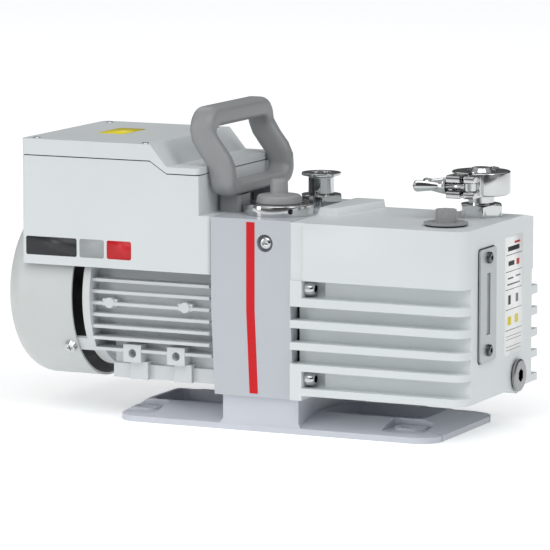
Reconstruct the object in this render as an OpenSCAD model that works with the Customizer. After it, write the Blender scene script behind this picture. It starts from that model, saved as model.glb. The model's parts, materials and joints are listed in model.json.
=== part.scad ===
// Two-stage rotary vane vacuum pump, direct drive, with a carry handle,
// a fan-cooled motor under an electronics box, and an oil case round the pumping stages.
// Millimetres. +X runs along the shaft towards the oil case, -Y is the operating side, +Z is up.
// The origin is on the bench, under the shaft, on the base plate's centre plane.

/* [Drive line] */
// Height of the shaft above the bench
axis_z = 92; // [91:0.5:93]
// Radius of the shaft through the motor core
shaft_r = 7; // [6.5:0.5:8]

/* [Base] */
// Distance between mounting slots along the shaft
slot_pitch_x = 220; // [216:1:224]
// Distance between mounting slots across the shaft
slot_pitch_y = 74; // [70:1:76]
// Width of a mounting slot
slot_w = 7; // [6:0.5:8]
// End-to-end length of a mounting slot
slot_len = 14; // [12:0.5:15]
// Half depth of the base plate, front to back
base_half_y = 63; // [62:0.5:66]

/* [Coupling housing] */
// Length of the coupling housing along the shaft
housing_len = 65; // [64:0.5:66]
// Height of the housing's top face
housing_top = 160.7; // [160:0.1:162]
// Half depth of the housing
housing_half_y = 71; // [70.5:0.5:72]

/* [Oil case] */
// Length of the oil case
case_len = 140; // [138:1:142]
// Height of the oil case's top face
case_top = 160; // [159:0.5:161]
// Height of the oil case's underside
case_bottom = 32; // [31:0.5:33]
// Half depth of the oil case
case_half_y = 72; // [71:0.5:73]
// Depth of the grooves between the fins
groove_depth = 12; // [10:0.5:13]

/* [Electronics box] */
// Half depth of the electronics box
ebox_half_y = 70; // [69:0.5:71]
// Height of the lid's top face
lid_top = 212.3; // [208:0.5:216]
// Wall thickness of the box and its lid
ebox_wall = 2.5; // [2:0.1:3]

/* [Motor] */
// Radius of the fan cowl
cowl_r = 68; // [67:0.5:68.5]
// Wall thickness of the fan cowl
cowl_wall = 1.8; // [1.5:0.1:2.2]
// Half depth over the motor's fins
fin_half_y = 62; // [61:0.5:63]
// Number of blades on the fan
fan_blades = 9; // [7:1:11]

/* [Pumping stages] */
// Radius of the stator bore
bore_r = 30; // [29:0.5:31]
// Distance from the rotor's axis down to the bore's axis
eccentricity = 3; // [2.5:0.5:3.5]
// Thickness of a vane
vane_t = 4.9; // [4:0.1:5]
// Length of the high-vacuum stage
hv_len = 30; // [28:1:32]
// Length of the second stage
lv_len = 16; // [14:1:18]

/* [Ports] */
// Radius of the small flange rims
flange_r = 15; // [15:0.5:15.5]
// Bore radius of the ports
port_bore_r = 8; // [7.5:0.5:8]
// Outer radius of the port tubes
port_tube_r = 9.85; // [9.8:0.05:10]

/* [Handle] */
// Depth of the handle, front to back
handle_depth = 114; // [110:1:118]
// Width of the handle's legs along the shaft
handle_w = 19; // [18:0.5:20]
// Thickness of the handle's legs, front to back
handle_leg = 11; // [10:0.5:13]
// Height of the handle's top
handle_top = 240; // [236:1:244]

/* [Hidden] */
$fn = 72;
eps = 0.01;

// stations along the shaft
housing_x0 = -49;
housing_x1 = housing_x0 + housing_len;
case_x1 = housing_x1 + case_len;
motor_x0 = -153;
motor_x1 = housing_x0;
bell_x0 = -163;
cowl_rim_x = -168;
cowl_end_x = -228;
ebox_x0 = -209;
ebox_x1 = -59.7;
ebox_step_x = housing_x0 - 0.6;
slope_x0 = -100.2;
slope_x1 = -86.4;

// heights
ebox_bottom = 117;
deck_z = 163;
seam_high = 199.4;
seam_low = 190.4;
lid_low = 196;
seam_gap = 0.8;
base_rim_z = 4.5;
base_top_z = 12;
base_flat_y = 28;
pedestal_top = 26.5;

// base plate outline
base_x0 = -134.5;
base_x1 = 128;
slot_centre_x = -11;
base_corner_r = 18;
foot_r = 6;
foot_h = 3;

// running clearance between parts that turn in each other
run_gap = 0.05;

// pump stack stations
inner_plate_t = 10;
mid_plate_t = 8;
outer_plate_t = 10;
hv_x0 = housing_x1 + inner_plate_t;
hv_x1 = hv_x0 + hv_len;
lv_x0 = hv_x1 + mid_plate_t;
lv_x1 = lv_x0 + lv_len;
stack_x1 = lv_x1 + outer_plate_t;
stack_r = 48;
rotor_r = bore_r - eccentricity - 0.1;
journal_r = 6;
slot_half = vane_t / 2 + run_gap;
vane_root = 4;
tie_bolt_ring = 42;

// ports
inlet_pos = [-1.4, 23.4];
outlet_pos = [129, 24.1];
inlet_face_z = 186.6;
outlet_face_z = 183.5;
flange_rim_t = 2;
flange_slope = tan(15);
seal_gap = 3.6;
clamp_r = 22;
clamp_z0 = 176.5;
clamp_z1 = 194;
clamp_mid_z = outlet_face_z + seal_gap / 2;
hinge_pin = [outlet_pos.x, outlet_pos.y + 24.5];
bolt_pin = [outlet_pos.x + 4.2, -8];
lug_reach = 18;
bolt_r = 2.6;

// gas ballast
ballast_pos = [-11.5, -31];
ballast_ring_r = 26.8;
ballast_top = 169;

// oil case features
case_corner_r = groove_depth;
post_x = housing_x1 + 9.4;
block_bottom = 117;
fins = [[97.6, 104], [81.5, 87.3], [65.1, 70.7], [49.3, 54.6], [31.1, 36.6]];
case_wall = 8;
cap_screw_z = [110.5, 43];
cap_screw_y = 63;
sight_y = -31.5;
sight_z = [60, 144];
sight_w = 31;
glass_w = 7;
glass_z = [80, 125.6];
sight_screw_z = [68.3, 137];
drain_pos = [30, 40.7];
drain_r = 12.2;
filler_pos = [127, -39.2];
filler_r = 16.5;

// colours
c_shell = "#D9DEDF";
c_casting = "#C3C7CC";
c_base = "#B5B8C0";
c_grey = "#8C8D8E";
c_steel = "#C9CBCB";
c_dark = "#3A3C3E";
c_motor = "#B9BDBF";
c_red = "#D8323A";

// ---- shared shapes ----

// A cylinder along +X from x0 to x1, about the height z
module rod_x(x0, x1, r, y = 0, z = axis_z, sides = $fn) {
    translate([x0, y, z]) rotate([0, 90, 0]) cylinder(h = x1 - x0, r = r, $fn = sides);
}

// A box from its lowest to its highest corner
module block(lo, hi) {
    translate(lo) cube(hi - lo);
}

// A ring along +X
module ring_x(x0, x1, r_out, r_in, z = axis_z) {
    difference() {
        rod_x(x0, x1, r_out, 0, z);
        rod_x(x0 - 1, x1 + 1, r_in, 0, z);
    }
}

// A plan-view rectangle with four corner radii: rear-left, rear-right, front-right, front-left
module plan_outline(x0, x1, y0, y1, radii) {
    rl = radii[0];
    rr = radii[1];
    fr = radii[2];
    fl = radii[3];
    difference() {
        translate([x0, y0]) square([x1 - x0, y1 - y0]);
        corner_cut(x0, y1, rl, 1, -1);
        corner_cut(x1, y1, rr, -1, -1);
        corner_cut(x1, y0, fr, -1, 1);
        corner_cut(x0, y0, fl, 1, 1);
    }
}

// What a corner radius takes away
module corner_cut(x, y, r, sx, sy) {
    if (r > 0) difference() {
        translate([sx > 0 ? x - 1 : x - r, sy > 0 ? y - 1 : y - r]) square(r + 1);
        translate([x + sx * r, y + sy * r]) circle(r);
    }
}

module rounded_slab(x0, x1, y0, y1, r, z0, z1) {
    translate([0, 0, z0]) linear_extrude(z1 - z0) plan_outline(x0, x1, y0, y1, [r, r, r, r]);
}

// Repeats its children front and back
module both_sides() {
    children();
    mirror([0, 1, 0]) children();
}

// A cap screw along -X direction of travel: its shank runs from x0 to head_x, its head beyond
module cap_screw_x(x0, head_x, y, z, shank_r, head_r, head_h) {
    rod_x(x0, head_x, shank_r, y, z);
    difference() {
        union() {
            rod_x(head_x, head_x + head_h * 0.7, head_r, y, z);
            translate([head_x + head_h * 0.7 - eps, y, z]) rotate([0, 90, 0])
                cylinder(h = head_h * 0.3, r1 = head_r, r2 = head_r * 0.75);
        }
        rod_x(head_x + head_h * 0.45, head_x + head_h + 1, head_r * 0.45, y, z, 6);
    }
}

// A pan head screw seen from outside: dir +1 points its head along +axis
module pan_screw(shank_r, shank_l, head_r, head_h) {
    translate([0, 0, -shank_l]) cylinder(h = shank_l, r = shank_r, $fn = 24);
    difference() {
        cylinder(h = head_h, r1 = head_r, r2 = head_r * 0.8, $fn = 32);
        for (turn = [0, 90])
            rotate(turn) translate([-head_r * 0.5, -0.45, head_h * 0.5]) cube([head_r, 0.9, head_h]);
    }
}

// ---- base ----

module base_plate() {
    color(c_base) difference() {
        union() {
            rounded_slab(base_x0, base_x1, -base_half_y, base_half_y, base_corner_r, 0, base_rim_z);
            hull() {
                rounded_slab(base_x0, base_x1, -base_half_y, base_half_y, base_corner_r,
                             base_rim_z - 0.1, base_rim_z, $fn = 32);
                rounded_slab(base_x0 + 10, base_x1 - 22, -base_flat_y - 2, base_flat_y + 2,
                             8, base_top_z - 0.1, base_top_z, $fn = 32);
            }
            // the seat spreads a little where it meets the plate
            hull() {
                block([-46.5, -base_half_y + 0.2, 4], [20.5, base_half_y - 0.2, 4.5]);
                block([-44, -base_half_y + 2, 7.5], [18, base_half_y - 2, 8]);
            }
            block([-44, -base_half_y + 2, 7], [18, base_half_y - 2, pedestal_top]);
        }
        // the plate is dished between its rims, either side of the seat
        rounded_slab(base_x0 + 13, -48, -base_flat_y + 2, base_flat_y - 2, 8, 3, 40);
        rounded_slab(22, base_x1 - 24, -base_flat_y + 2, base_flat_y - 2, 8, 3, 40);
        at_slots() difference() {
            // a flat-bottomed pocket, with a rim standing round the slot
            rounded_slab(-17, 17, -10, 19, 5, 5.8, 30);
            translate([0, 0, 5]) linear_extrude(2.8) slot_outline(5.5);
        }
        at_slots() translate([0, 0, -1]) linear_extrude(20) slot_outline();
        // a narrow slit parts each corner from the end of the plate
        both_sides() for (x = [base_x0 - 5, base_x1 - 17])
            block([x, 45.6, -1], [x + 22, 47, 30]);
        corner_feet(0.05);
    }
}

// Repeats its children at the four slots, with +Y away from the middle of the plate
module at_slots() {
    both_sides() for (x = [-1, 1])
        translate([slot_centre_x + x * slot_pitch_x / 2, slot_pitch_y / 2, 0]) children();
}

// A mounting slot's outline, or the outline that runs round it at a distance
module slot_outline(margin = 0) {
    run = (slot_len - slot_w) / 2;
    translate([-run, -slot_w / 2 - margin]) square([2 * run, slot_w + 2 * margin]);
    for (s = [-1, 1]) translate([s * run, 0]) circle(slot_w / 2 + margin);
}

// Rubber pads let into the underside; clearance makes their pockets
module corner_feet(clearance) {
    both_sides() for (x = [base_x0 + 32, base_x1 - 48])
        translate([x, 52, clearance > 0 ? -1 : 0])
            cylinder(h = foot_h + (clearance > 0 ? 1 + clearance : 0), r = foot_r + clearance);
}

module base_feet() {
    color(c_dark) corner_feet(0);
}

// ---- coupling housing ----

// Cross-section of the housing across the shaft: upright sides that lean in below mid height
module housing_section(grow = 0) {
    h = housing_half_y + grow;
    polygon([[-h, housing_top], [-h, 92.5], [-h + 6, pedestal_top],
             [h - 6, pedestal_top], [h, 92.5], [h, housing_top]]);
}

// Extrudes a [y, z] outline along X from x0 to x1
module along_x(x0, x1) {
    translate([x0, 0, 0]) rotate([90, 0, 90]) linear_extrude(x1 - x0) children();
}

module coupling_housing() {
    color(c_casting) difference() {
        along_x(housing_x0, housing_x1) housing_section();
        stripe_band(0.8, 1);
        rod_x(housing_x0 - 1, housing_x1 - 13, 40);
        rod_x(housing_x1 - 14, housing_x1 + 1, journal_r + 2);
        rod_x(housing_x1 - 9, housing_x1 + 1, 13);
        // inlet passage: down from the port, then across to the pump face
        translate([inlet_pos.x, inlet_pos.y, 148]) cylinder(h = 20, r = port_tube_r);
        translate([inlet_pos.x, inlet_pos.y, 135]) cylinder(h = 20, r = 6);
        rod_x(inlet_pos.x, housing_x1 + 1, 5, inlet_pos.y, 139);
        // gas ballast passage
        translate([ballast_pos.x, ballast_pos.y, 138]) cylinder(h = 30, r = 4.2);
        // recess for the fixing screw on the front
        translate([-5, -housing_half_y + 5, 143.2]) rotate([90, 0, 0]) cylinder(h = 10, r = 6.6);
        translate([-5, -housing_half_y + 24, 143.2]) rotate([90, 0, 0]) cylinder(h = 22, r = 3.05);
        for (y = [-cap_screw_y, cap_screw_y], z = cap_screw_z) rod_x(-2, housing_x1 + 1, 2.5, y, z);
        for (a = [45:90:315]) rod_x(housing_x1 - 10, housing_x1 + 1, 3.05,
            tie_bolt_ring * cos(a), axis_z + tie_bolt_ring * sin(a));
        for (y = [-30, 30]) translate([-44, y, housing_top - 14]) cylinder(h = 20, r = 2.6);
    }
}

// The band down the front and back faces: depth into the face, and how far it stands out
module stripe_band(depth, proud) {
    along_x(-20, -13.2) difference() {
        intersection() {
            housing_section(proud);
            translate([-100, 28.9]) square([200, 158.5 - 28.9]);
        }
        housing_section(-depth);
    }
}

module housing_stripe() {
    color(c_red) stripe_band(0.8, 0.15);
}

// ---- electronics box ----

module ebox_outline(inset = 0) {
    polygon([[ebox_x0 + inset, ebox_bottom], [ebox_step_x - inset, ebox_bottom],
             [ebox_step_x - inset, housing_top - inset], [ebox_x1 - inset, housing_top - inset],
             [ebox_x1 - inset, seam_low], [slope_x1, seam_low],
             [slope_x0, seam_high], [ebox_x0 + inset, seam_high]]);
}

// Extrudes an [x, z] outline from front to back
module along_y(half) {
    translate([0, half, 0]) rotate([90, 0, 0]) linear_extrude(2 * half) children();
}

module ebox_housing() {
    w = ebox_wall;
    hy = ebox_half_y;
    color(c_shell) difference() {
        intersection() {
            along_y(hy) ebox_outline();
            rounded_slab(ebox_x0, ebox_step_x, -hy, hy, 4, 100, 230);
        }
        // electronics compartment above the deck
        block([ebox_x0 + w, -hy + w, deck_z + w], [ebox_x1 - w, hy - w, 220]);
        // motor space below the deck
        block([ebox_x0 + w, -hy + w, 100], [ebox_step_x - w, hy - w, housing_top - w]);
        // the ends are arched over the cowl and the motor
        rod_x(ebox_x0 - 10, motor_x0 + 2, cowl_r + 0.8);
        block([ebox_x0 - 10, -60, 100], [ebox_x0 + 10, 60, axis_z + 30]);
        rod_x(ebox_step_x - 10, ebox_step_x + 10, 61);
        block([ebox_step_x - 10, -61, 100], [ebox_step_x + 10, 61, axis_z + 5]);
        // opening for the power inlet and switch
        block([ebox_x0 - 5, -29, 171], [ebox_x0 + 5, 29, 195]);
        for (x = [ebox_x0 + 9, slope_x0 - 8], y = [-1, 1])
            translate([x, y * (hy - 9), seam_high - 20]) cylinder(h = 30, r = 1.6);
    }
    // screw bosses in the corners of the compartment
    color(c_shell) for (x = [ebox_x0 + 9, slope_x0 - 8], y = [-1, 1]) difference() {
        translate([x, y * (hy - 9), deck_z + w]) cylinder(h = seam_high - deck_z - w - 1, r = 4);
        translate([x, y * (hy - 9), deck_z + w + 5]) cylinder(h = 60, r = 1.6);
    }
}

// The lid from the side: its lower edge follows the seam, its top drops towards the handle
module lid_section(inset = 0) {
    low = inset > 0 ? -1 : seam_gap;
    polygon([[ebox_x0 + inset, seam_high + low], [slope_x0, seam_high + low],
             [slope_x1, seam_low + low], [ebox_x1 - inset, seam_low + low],
             [ebox_x1 - inset, lid_low - inset], [slope_x1 - inset / 2, lid_low - inset],
             [slope_x0 - inset / 2, lid_top - inset], [ebox_x0 + inset, lid_top - inset]]);
}

module ebox_lid() {
    hy = ebox_half_y;
    color(c_shell) difference() {
        intersection() {
            along_y(hy) lid_section();
            rounded_slab(ebox_x0, ebox_x1, -hy, hy, 4, 180, 230);
        }
        along_y(hy - ebox_wall) lid_section(ebox_wall);
        for (x = [ebox_x0 + 9, slope_x0 - 8], y = [-1, 1]) translate([x, y * (hy - 9), 190]) {
            cylinder(h = 30, r = 1.9);
            translate([0, 0, lid_top - 190 - 1.1]) cylinder(h = 5, r = 3.6);
        }
    }
}

module panel_screws() {
    hy = ebox_half_y;
    color(c_steel) {
        for (x = [ebox_x0 + 9, slope_x0 - 8], y = [-1, 1])
            translate([x, y * (hy - 9), lid_top - 1.08]) pan_screw(1.5, 25, 3.1, 1.3);
        for (a = cowl_screw_angles) rotate_about_shaft(a)
            translate([cowl_screw_x, cowl_r + 0.1, axis_z]) rotate([-90, 0, 0]) pan_screw(1.9, 6, 5, 3.4);
    }
}

module power_inlet() {
    w = ebox_wall;
    color(c_dark) difference() {
        union() {
            rounded_slab_x(ebox_x0 - 2, ebox_x0, -33, 33, 167.5, 198, 3);
            block([ebox_x0 - eps, -28.5, 171.5], [ebox_x0 + 24, 28.5, 194.5]);
        }
        // socket for the mains lead
        block([ebox_x0 - 5, -25, 174], [ebox_x0 + 16, -1, 191.5]);
        // window of the switch
        block([ebox_x0 - 5, 5, 173.5], [ebox_x0 + 14, 25, 192.5]);
        translate([rocker_x, 26.5, rocker_z]) rotate([90, 0, 0]) cylinder(h = 23, r = 1.5 + run_gap);
    }
    color(c_steel) for (p = [[-20, 181], [-13, 185], [-6, 181]])
        block([ebox_x0 + 5, p.x - 1, p.y - 2], [ebox_x0 + 16.5, p.x + 1, p.y + 2]);
}

// A rounded rectangle in the [y, z] plane, extruded along X
module rounded_slab_x(x0, x1, y0, y1, z0, z1, r) {
    along_x(x0, x1) plan_outline(y0, y1, z0, z1, [r, r, r, r]);
}

// The rocker tips about its trunnions; it is drawn tipped to the off side
module power_rocker() {
    r = 9.3;
    color("#26282A") translate([rocker_x, 0, rocker_z]) rotate([0, -rocker_tip, 0]) {
        difference() {
            translate([0, 24.6, 0]) rotate([90, 0, 0]) cylinder(h = 19.2, r = r);
            translate([2, 0, -20]) cube([20, 40, 40]);
            // two faces meet at a shallow angle on the front
            for (s = [-1, 1]) translate([-6.2, 0, 0]) rotate([0, s * rocker_tip, 0])
                translate([-20, 0, s > 0 ? 0 : -20]) cube([20, 40, 20]);
        }
        translate([0, 26, 0]) rotate([90, 0, 0]) cylinder(h = 22, r = 1.5);
    }
}
rocker_x = ebox_x0 + 5;
rocker_z = 183;
rocker_tip = 10;

module run_capacitor() {
    color("#E3E4E2") {
        rod_x(-178, -112, 15, -35, deck_z + ebox_wall + 15.2);
        rod_x(-112, -109, 12, -35, deck_z + ebox_wall + 15.2);
        for (y = [-38, -32]) block([-109.01, y - 0.5, deck_z + 16], [-103, y + 0.5, deck_z + 20]);
    }
}

// ---- handle ----

// Centre line of the handle seen from the front: upright, leaning back over the box, upright again
handle_z0 = 174;
function lean(t) = t <= 0 ? 0 : t >= 1 ? 1 : t * t * (3 - 2 * t);
function handle_x(z) = -47.8 - 17 * lean((z - 190) / 34);
// Half its width on a level line, which grows with the lean so that the section stays the same
function handle_half(z) = let (t = min(1, max(0, (z - 190) / 34)))
    handle_w / 2 * sqrt(1 + pow(17 * 6 * t * (1 - t) / 34, 2));

module handle() {
    half = handle_depth / 2;
    steps = 22;
    zs = [for (i = [0:steps]) handle_z0 + (handle_top - handle_z0) * i / steps];
    color(c_grey) intersection() {
        along_y(half) polygon(concat(
            [for (z = zs) [handle_x(z) - handle_half(z), z]],
            [for (i = [steps:-1:0]) [handle_x(zs[i]) + handle_half(zs[i]), zs[i]]]));
        along_x(-110, -20) difference() {
            plan_outline(-half, half, handle_z0, handle_top, [16, 16, 12, 12]);
            plan_outline(-half + handle_leg, half - handle_leg, handle_z0 + 9.5, handle_top - 15.5,
                         [7, 7, 8, 8]);
        }
    }
}

module handle_blocks() {
    color(c_grey) for (y = [-1, 1]) difference() {
        translate([0, y * 30, 0]) rounded_slab(-57.5, -39.5, -10, 10, 3, housing_top, handle_z0);
        translate([-44, y * 30, housing_top - 1]) cylinder(h = 20, r = 2.6);
        translate([ballast_pos.x, ballast_pos.y, 150]) cylinder(h = 40, r = ballast_ring_r + 0.4);
    }
}

// ---- motor ----

module motor_section() {
    circle(54);
    // lower flanks run down to the foot band
    translate([-46, -50]) square([92, 50]);
    translate([-50, -61]) square([100, 11]);
}

module motor_frame() {
    top_fins = 3;
    color(c_motor) difference() {
        union() {
            along_x(motor_x0, motor_x1) translate([0, axis_z]) circle(54);
            along_x(motor_x0 + 12, -56) translate([0, axis_z]) motor_section();
            // seven cooling fins on each side, and three more out of sight under the box
            for (z = concat([for (k = [0:6]) 106.4 - 8.86 * k], [for (k = [1:top_fins]) 115 + 8.86 * k]))
                block([motor_x0, -fin_reach(z), z - 1.2], [-55, fin_reach(z), z + 1.2]);
            rod_x(-54, motor_x1, 60);
            both_sides() {
                for (x = [-121.4, -84.6]) {
                    block([x - 7.4, -58.5, 44.5], [x + 7.4, -40, 58]);
                    block([x - 3.4, -54, 31], [x + 11, -40, 44.6]);
                }
                for (x = [-138.7, -75.3]) {
                    block([x - 6, -61.2, 86.6], [x + 6, -40, 92.2]);
                    translate([x, -40, 89.4]) rotate([90, 0, 0]) cylinder(h = 22.4, r = 4);
                }
            }
        }
        rod_x(motor_x0 - 1, -64, 50);
        rod_x(-70, motor_x1 + 1, 16);
        both_sides() for (x = [-121.2, -84.6])
            translate([x, -51, 51.2]) rotate([90, 0, 0]) cylinder(h = 20, r = 3.3);
    }
}

// How far a fin at this height reaches: full depth beside the core, less above it
function fin_reach(z) = z > 130 ? fin_half_y - (z - 130) * 0.9 : fin_half_y - (z < 60 ? (60 - z) * 0.6 : 0);

module rear_endbell() {
    color(c_motor) {
        difference() {
            union() {
                rod_x(bell_x0, motor_x0, 59);
                // the rim stops short of the underside, where the air comes out
                difference() {
                    rod_x(bell_x0 + 4, motor_x0, 67);
                    block([bell_x0 + 3, -80, 0], [motor_x0 + 1, 80, axis_z - 40]);
                }
                rod_x(bell_x0 - 3, bell_x0 + 1, 20);
            }
            rod_x(bell_x0 + 4, motor_x0 + 1, 50);
            rod_x(bell_x0 - 1, motor_x0 + 1, 13);
            rod_x(bell_x0 - 5, motor_x0 + 1, 7);
        }
        // arms that carry the cowl
        for (a = cowl_screw_angles) rotate_about_shaft(a) difference() {
            union() {
                block([cowl_screw_x - 7, cowl_r - cowl_wall - 3.3, axis_z - 6],
                      [bell_x0 + 8, cowl_r - cowl_wall - 0.3, axis_z + 6]);
                block([bell_x0 + 2, 55, axis_z - 6], [bell_x0 + 8, cowl_r - cowl_wall - 0.3, axis_z + 6]);
            }
            translate([cowl_screw_x, 50, axis_z]) rotate([-90, 0, 0]) cylinder(h = 30, r = 1.9);
        }
    }
}

// Where the cowl screws sit, as angles from the front-to-back line
cowl_screw_angles = [34, 146, 214, 326];
cowl_screw_x = -174;

module rotate_about_shaft(a) {
    translate([0, 0, axis_z]) rotate([a, 0, 0]) translate([0, 0, -axis_z]) children();
}

module stator_core() {
    color("#8A8D90") ring_x(-135, -75, 50, 30.3);
}

module stator_windings() {
    color("#B5652B") for (x = [[-149, -135], [-75, -66]]) difference() {
        rod_x(x[0], x[1], 46);
        rod_x(x[0] - 1, x[1] + 1, 33);
    }
}

module motor_bearings() {
    color(c_steel) {
        ring_x(bell_x0, bell_x0 + 8, 13, 5 + run_gap);
        ring_x(motor_x1 - 11, motor_x1 - 1, 16, 6 + run_gap);
    }
}

module motor_shaft() {
    color(c_steel) {
        rod_x(-208, bell_x0 + 8.5, 5);
        rod_x(bell_x0 + 8.5 - eps, motor_x1 - 11.5, shaft_r);
        rod_x(motor_x1 - 11.5 - eps, -33, 6);
    }
}

module motor_rotor() {
    color("#9EA1A4") difference() {
        union() {
            ring_x(-135, -75, 30, shaft_r);
            for (x = [[-141, -135], [-75, -69]]) ring_x(x[0], x[1], 27, 20);
        }
    }
}

module fan() {
    color("#2E3032") {
        ring_x(-206, -182, 13, 5);
        ring_x(-184, -181.5, 54, 12.5);
        for (i = [0:fan_blades - 1]) rotate_about_shaft(i * 360 / fan_blades)
            block([-205, 12.5, axis_z - 1], [-183.9, 54, axis_z + 1]);
    }
}

module turned_about_shaft() {
    translate([0, 0, axis_z]) rotate([0, 90, 0]) rotate_extrude($fn = 96) children();
}

module fan_cowl() {
    color("#CFD3D3") difference() {
        turned_about_shaft() cowl_shape(cowl_r, cowl_end_x);
        turned_about_shaft() cowl_shape(cowl_r - cowl_wall, cowl_end_x + cowl_wall, 1);
        // air slots in the end, in rings broken by four spokes
        difference() {
            union() for (r = [12:8:44]) ring_x(cowl_end_x - 1, cowl_end_x + 6, r + 4, r);
            for (a = [0, 90]) rotate_about_shaft(a + 45)
                block([cowl_end_x - 2, -60, axis_z - 3], [cowl_end_x + 8, 60, axis_z + 3]);
        }
        for (a = cowl_screw_angles) rotate_about_shaft(a)
            translate([cowl_screw_x, 50, axis_z]) rotate([-90, 0, 0]) cylinder(h = 30, r = 2.1);
    }
}

// Radius against distance along the shaft, for turning
module cowl_shape(r, end_x, extra = 0) {
    shoulder = 19;
    polygon(concat(
        [[0, cowl_rim_x + extra], [r, cowl_rim_x + extra]],
        [for (a = [0:6:90]) [r - shoulder + shoulder * cos(a), end_x + shoulder - shoulder * sin(a)]],
        [[0, end_x]]));
}

// ---- coupling ----

hub_r = 24;
hub_faces = [-47, -35, -24, -12];

// A wedge of a disc about the shaft, from one angle to another
module wedge_x(x0, x1, r, a0, a1) {
    along_x(x0, x1) translate([0, axis_z]) intersection() {
        circle(r);
        polygon([[0, 0], for (a = [a0:(a1 - a0) / 4:a1]) 2 * r * [cos(a), sin(a)]]);
    }
}

module hub_jaws(offset_angle) {
    for (i = [0:2]) difference() {
        wedge_x(hub_faces[1] - eps, hub_faces[2] + eps, hub_r,
                offset_angle + 120 * i - 21, offset_angle + 120 * i + 21);
        rod_x(hub_faces[1] - 1, hub_faces[2] + 1, 11);
    }
}

module motor_hub() {
    color("#A9ACAF") {
        ring_x(hub_faces[0], hub_faces[1], hub_r, 6);
        intersection() {
            hub_jaws(0);
            rod_x(hub_faces[1] - 1, hub_faces[2] - 0.3, hub_r);
        }
    }
}

module pump_hub() {
    color("#A9ACAF") {
        ring_x(hub_faces[2], hub_faces[3], hub_r, journal_r);
        intersection() {
            hub_jaws(60);
            rod_x(hub_faces[1] + 0.3, hub_faces[2] + 1, hub_r);
        }
    }
}

module coupling_spider() {
    color("#C8452E") difference() {
        union() {
            rod_x(hub_faces[1] + 0.3, hub_faces[2] - 0.3, 10.8);
            for (i = [0:5]) wedge_x(hub_faces[1] + 0.3, hub_faces[2] - 0.3, hub_r - 0.5,
                                    60 * i + 21.3, 60 * i + 38.7);
        }
        rod_x(hub_faces[1], hub_faces[2], 7);
    }
}

module shaft_seal() {
    color(c_dark) ring_x(housing_x1 - 9, housing_x1 - 1.5, 13, journal_r + run_gap);
}

// ---- pumping stages ----

// A round plate of the pump stack with the tie bolts' holes
module stack_plate(x0, x1) {
    difference() {
        rod_x(x0, x1, stack_r);
        for (a = [45:90:315]) rod_x(x0 - 1, x1 + 1, 3.1,
            tie_bolt_ring * cos(a), axis_z + tie_bolt_ring * sin(a));
        children();
    }
}

module inner_plate() {
    color("#9DA0A2") stack_plate(housing_x1, hv_x0) {
        rod_x(housing_x1 - 1, hv_x0 + 1, journal_r + run_gap);
        rod_x(housing_x1 - 1, hv_x0 - 4, 5, inlet_pos.y, 139 - 9);
    }
}

module stage_stator(x0, x1) {
    difference() {
        stack_plate(x0, x1) rod_x(x0 - 1, x1 + 1, bore_r, 0, axis_z - eccentricity);
        // flat seat and ports of the exhaust valve
        block([x0 - 1, 4, axis_z + 43], [x1 + 1, 24, axis_z + 60]);
        translate([(x0 + x1) / 2, 13, axis_z + 15]) cylinder(h = 40, r = 2);
    }
}

module hv_stator() {
    color("#8F9294") stage_stator(hv_x0, hv_x1);
}

module mid_plate() {
    color("#9DA0A2") stack_plate(hv_x1, lv_x0) rod_x(hv_x1 - 1, lv_x0 + 1, journal_r + run_gap);
}

module lv_stator() {
    color("#8F9294") stage_stator(lv_x0, lv_x1);
}

module outer_plate() {
    color("#9DA0A2") stack_plate(lv_x1, stack_x1) rod_x(lv_x1 - 1, stack_x1 + 1, journal_r + run_gap);
}

module pump_bolts() {
    color(c_steel) for (a = [45:90:315])
        cap_screw_x(housing_x1 - 9, stack_x1, tie_bolt_ring * cos(a),
                    axis_z + tie_bolt_ring * sin(a), 3, 5, 6);
}

module exhaust_valves() {
    color(c_steel) for (x = [[hv_x0, hv_x1], [lv_x0, lv_x1]]) {
        m = (x[0] + x[1]) / 2;
        reach = min(x[1] - x[0], 24) / 2 - 1;
        block([m - reach, 6, axis_z + 43], [m + reach, 22, axis_z + 43.4]);
        block([m - reach, 6, axis_z + 43.4 + eps], [m + reach, 22, axis_z + 45.4]);
        translate([m, 18, axis_z + 45.4]) cylinder(h = 2, r = 2.6, $fn = 6);
    }
}

// One stage's drum with the slot that holds its pair of vanes
module rotor_drum(x0, x1) {
    difference() {
        rod_x(x0 + run_gap, x1 - run_gap, rotor_r);
        block([x0 + run_gap - 1, -40, axis_z - slot_half], [x1 - run_gap + 1, 40, axis_z + slot_half]);
    }
}

module pump_rotor() {
    color("#AEB1B3") {
        rod_x(-21, hv_x0 + run_gap + eps, journal_r);
        rotor_drum(hv_x0, hv_x1);
        rod_x(hv_x1 - run_gap - eps, lv_x0 + run_gap + eps, journal_r);
        rotor_drum(lv_x0, lv_x1);
        rod_x(lv_x1 - run_gap - eps, stack_x1 + 2, journal_r);
    }
}

// A vane on the +Y side of the slot, drawn in, with a rounded tip
module vane(x0, x1) {
    tip = rotor_r - 0.3;
    block([x0 + 0.1, vane_root, axis_z - vane_t / 2], [x1 - 0.1, tip - vane_t / 2, axis_z + vane_t / 2]);
    rod_x(x0 + 0.1, x1 - 0.1, vane_t / 2, tip - vane_t / 2);
}

module hv_vane_a() { color("#4A3B2A") vane(hv_x0, hv_x1); }
module hv_vane_b() { color("#4A3B2A") mirror([0, 1, 0]) vane(hv_x0, hv_x1); }
module lv_vane_a() { color("#4A3B2A") vane(lv_x0, lv_x1); }
module lv_vane_b() { color("#4A3B2A") mirror([0, 1, 0]) vane(lv_x0, lv_x1); }

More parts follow.
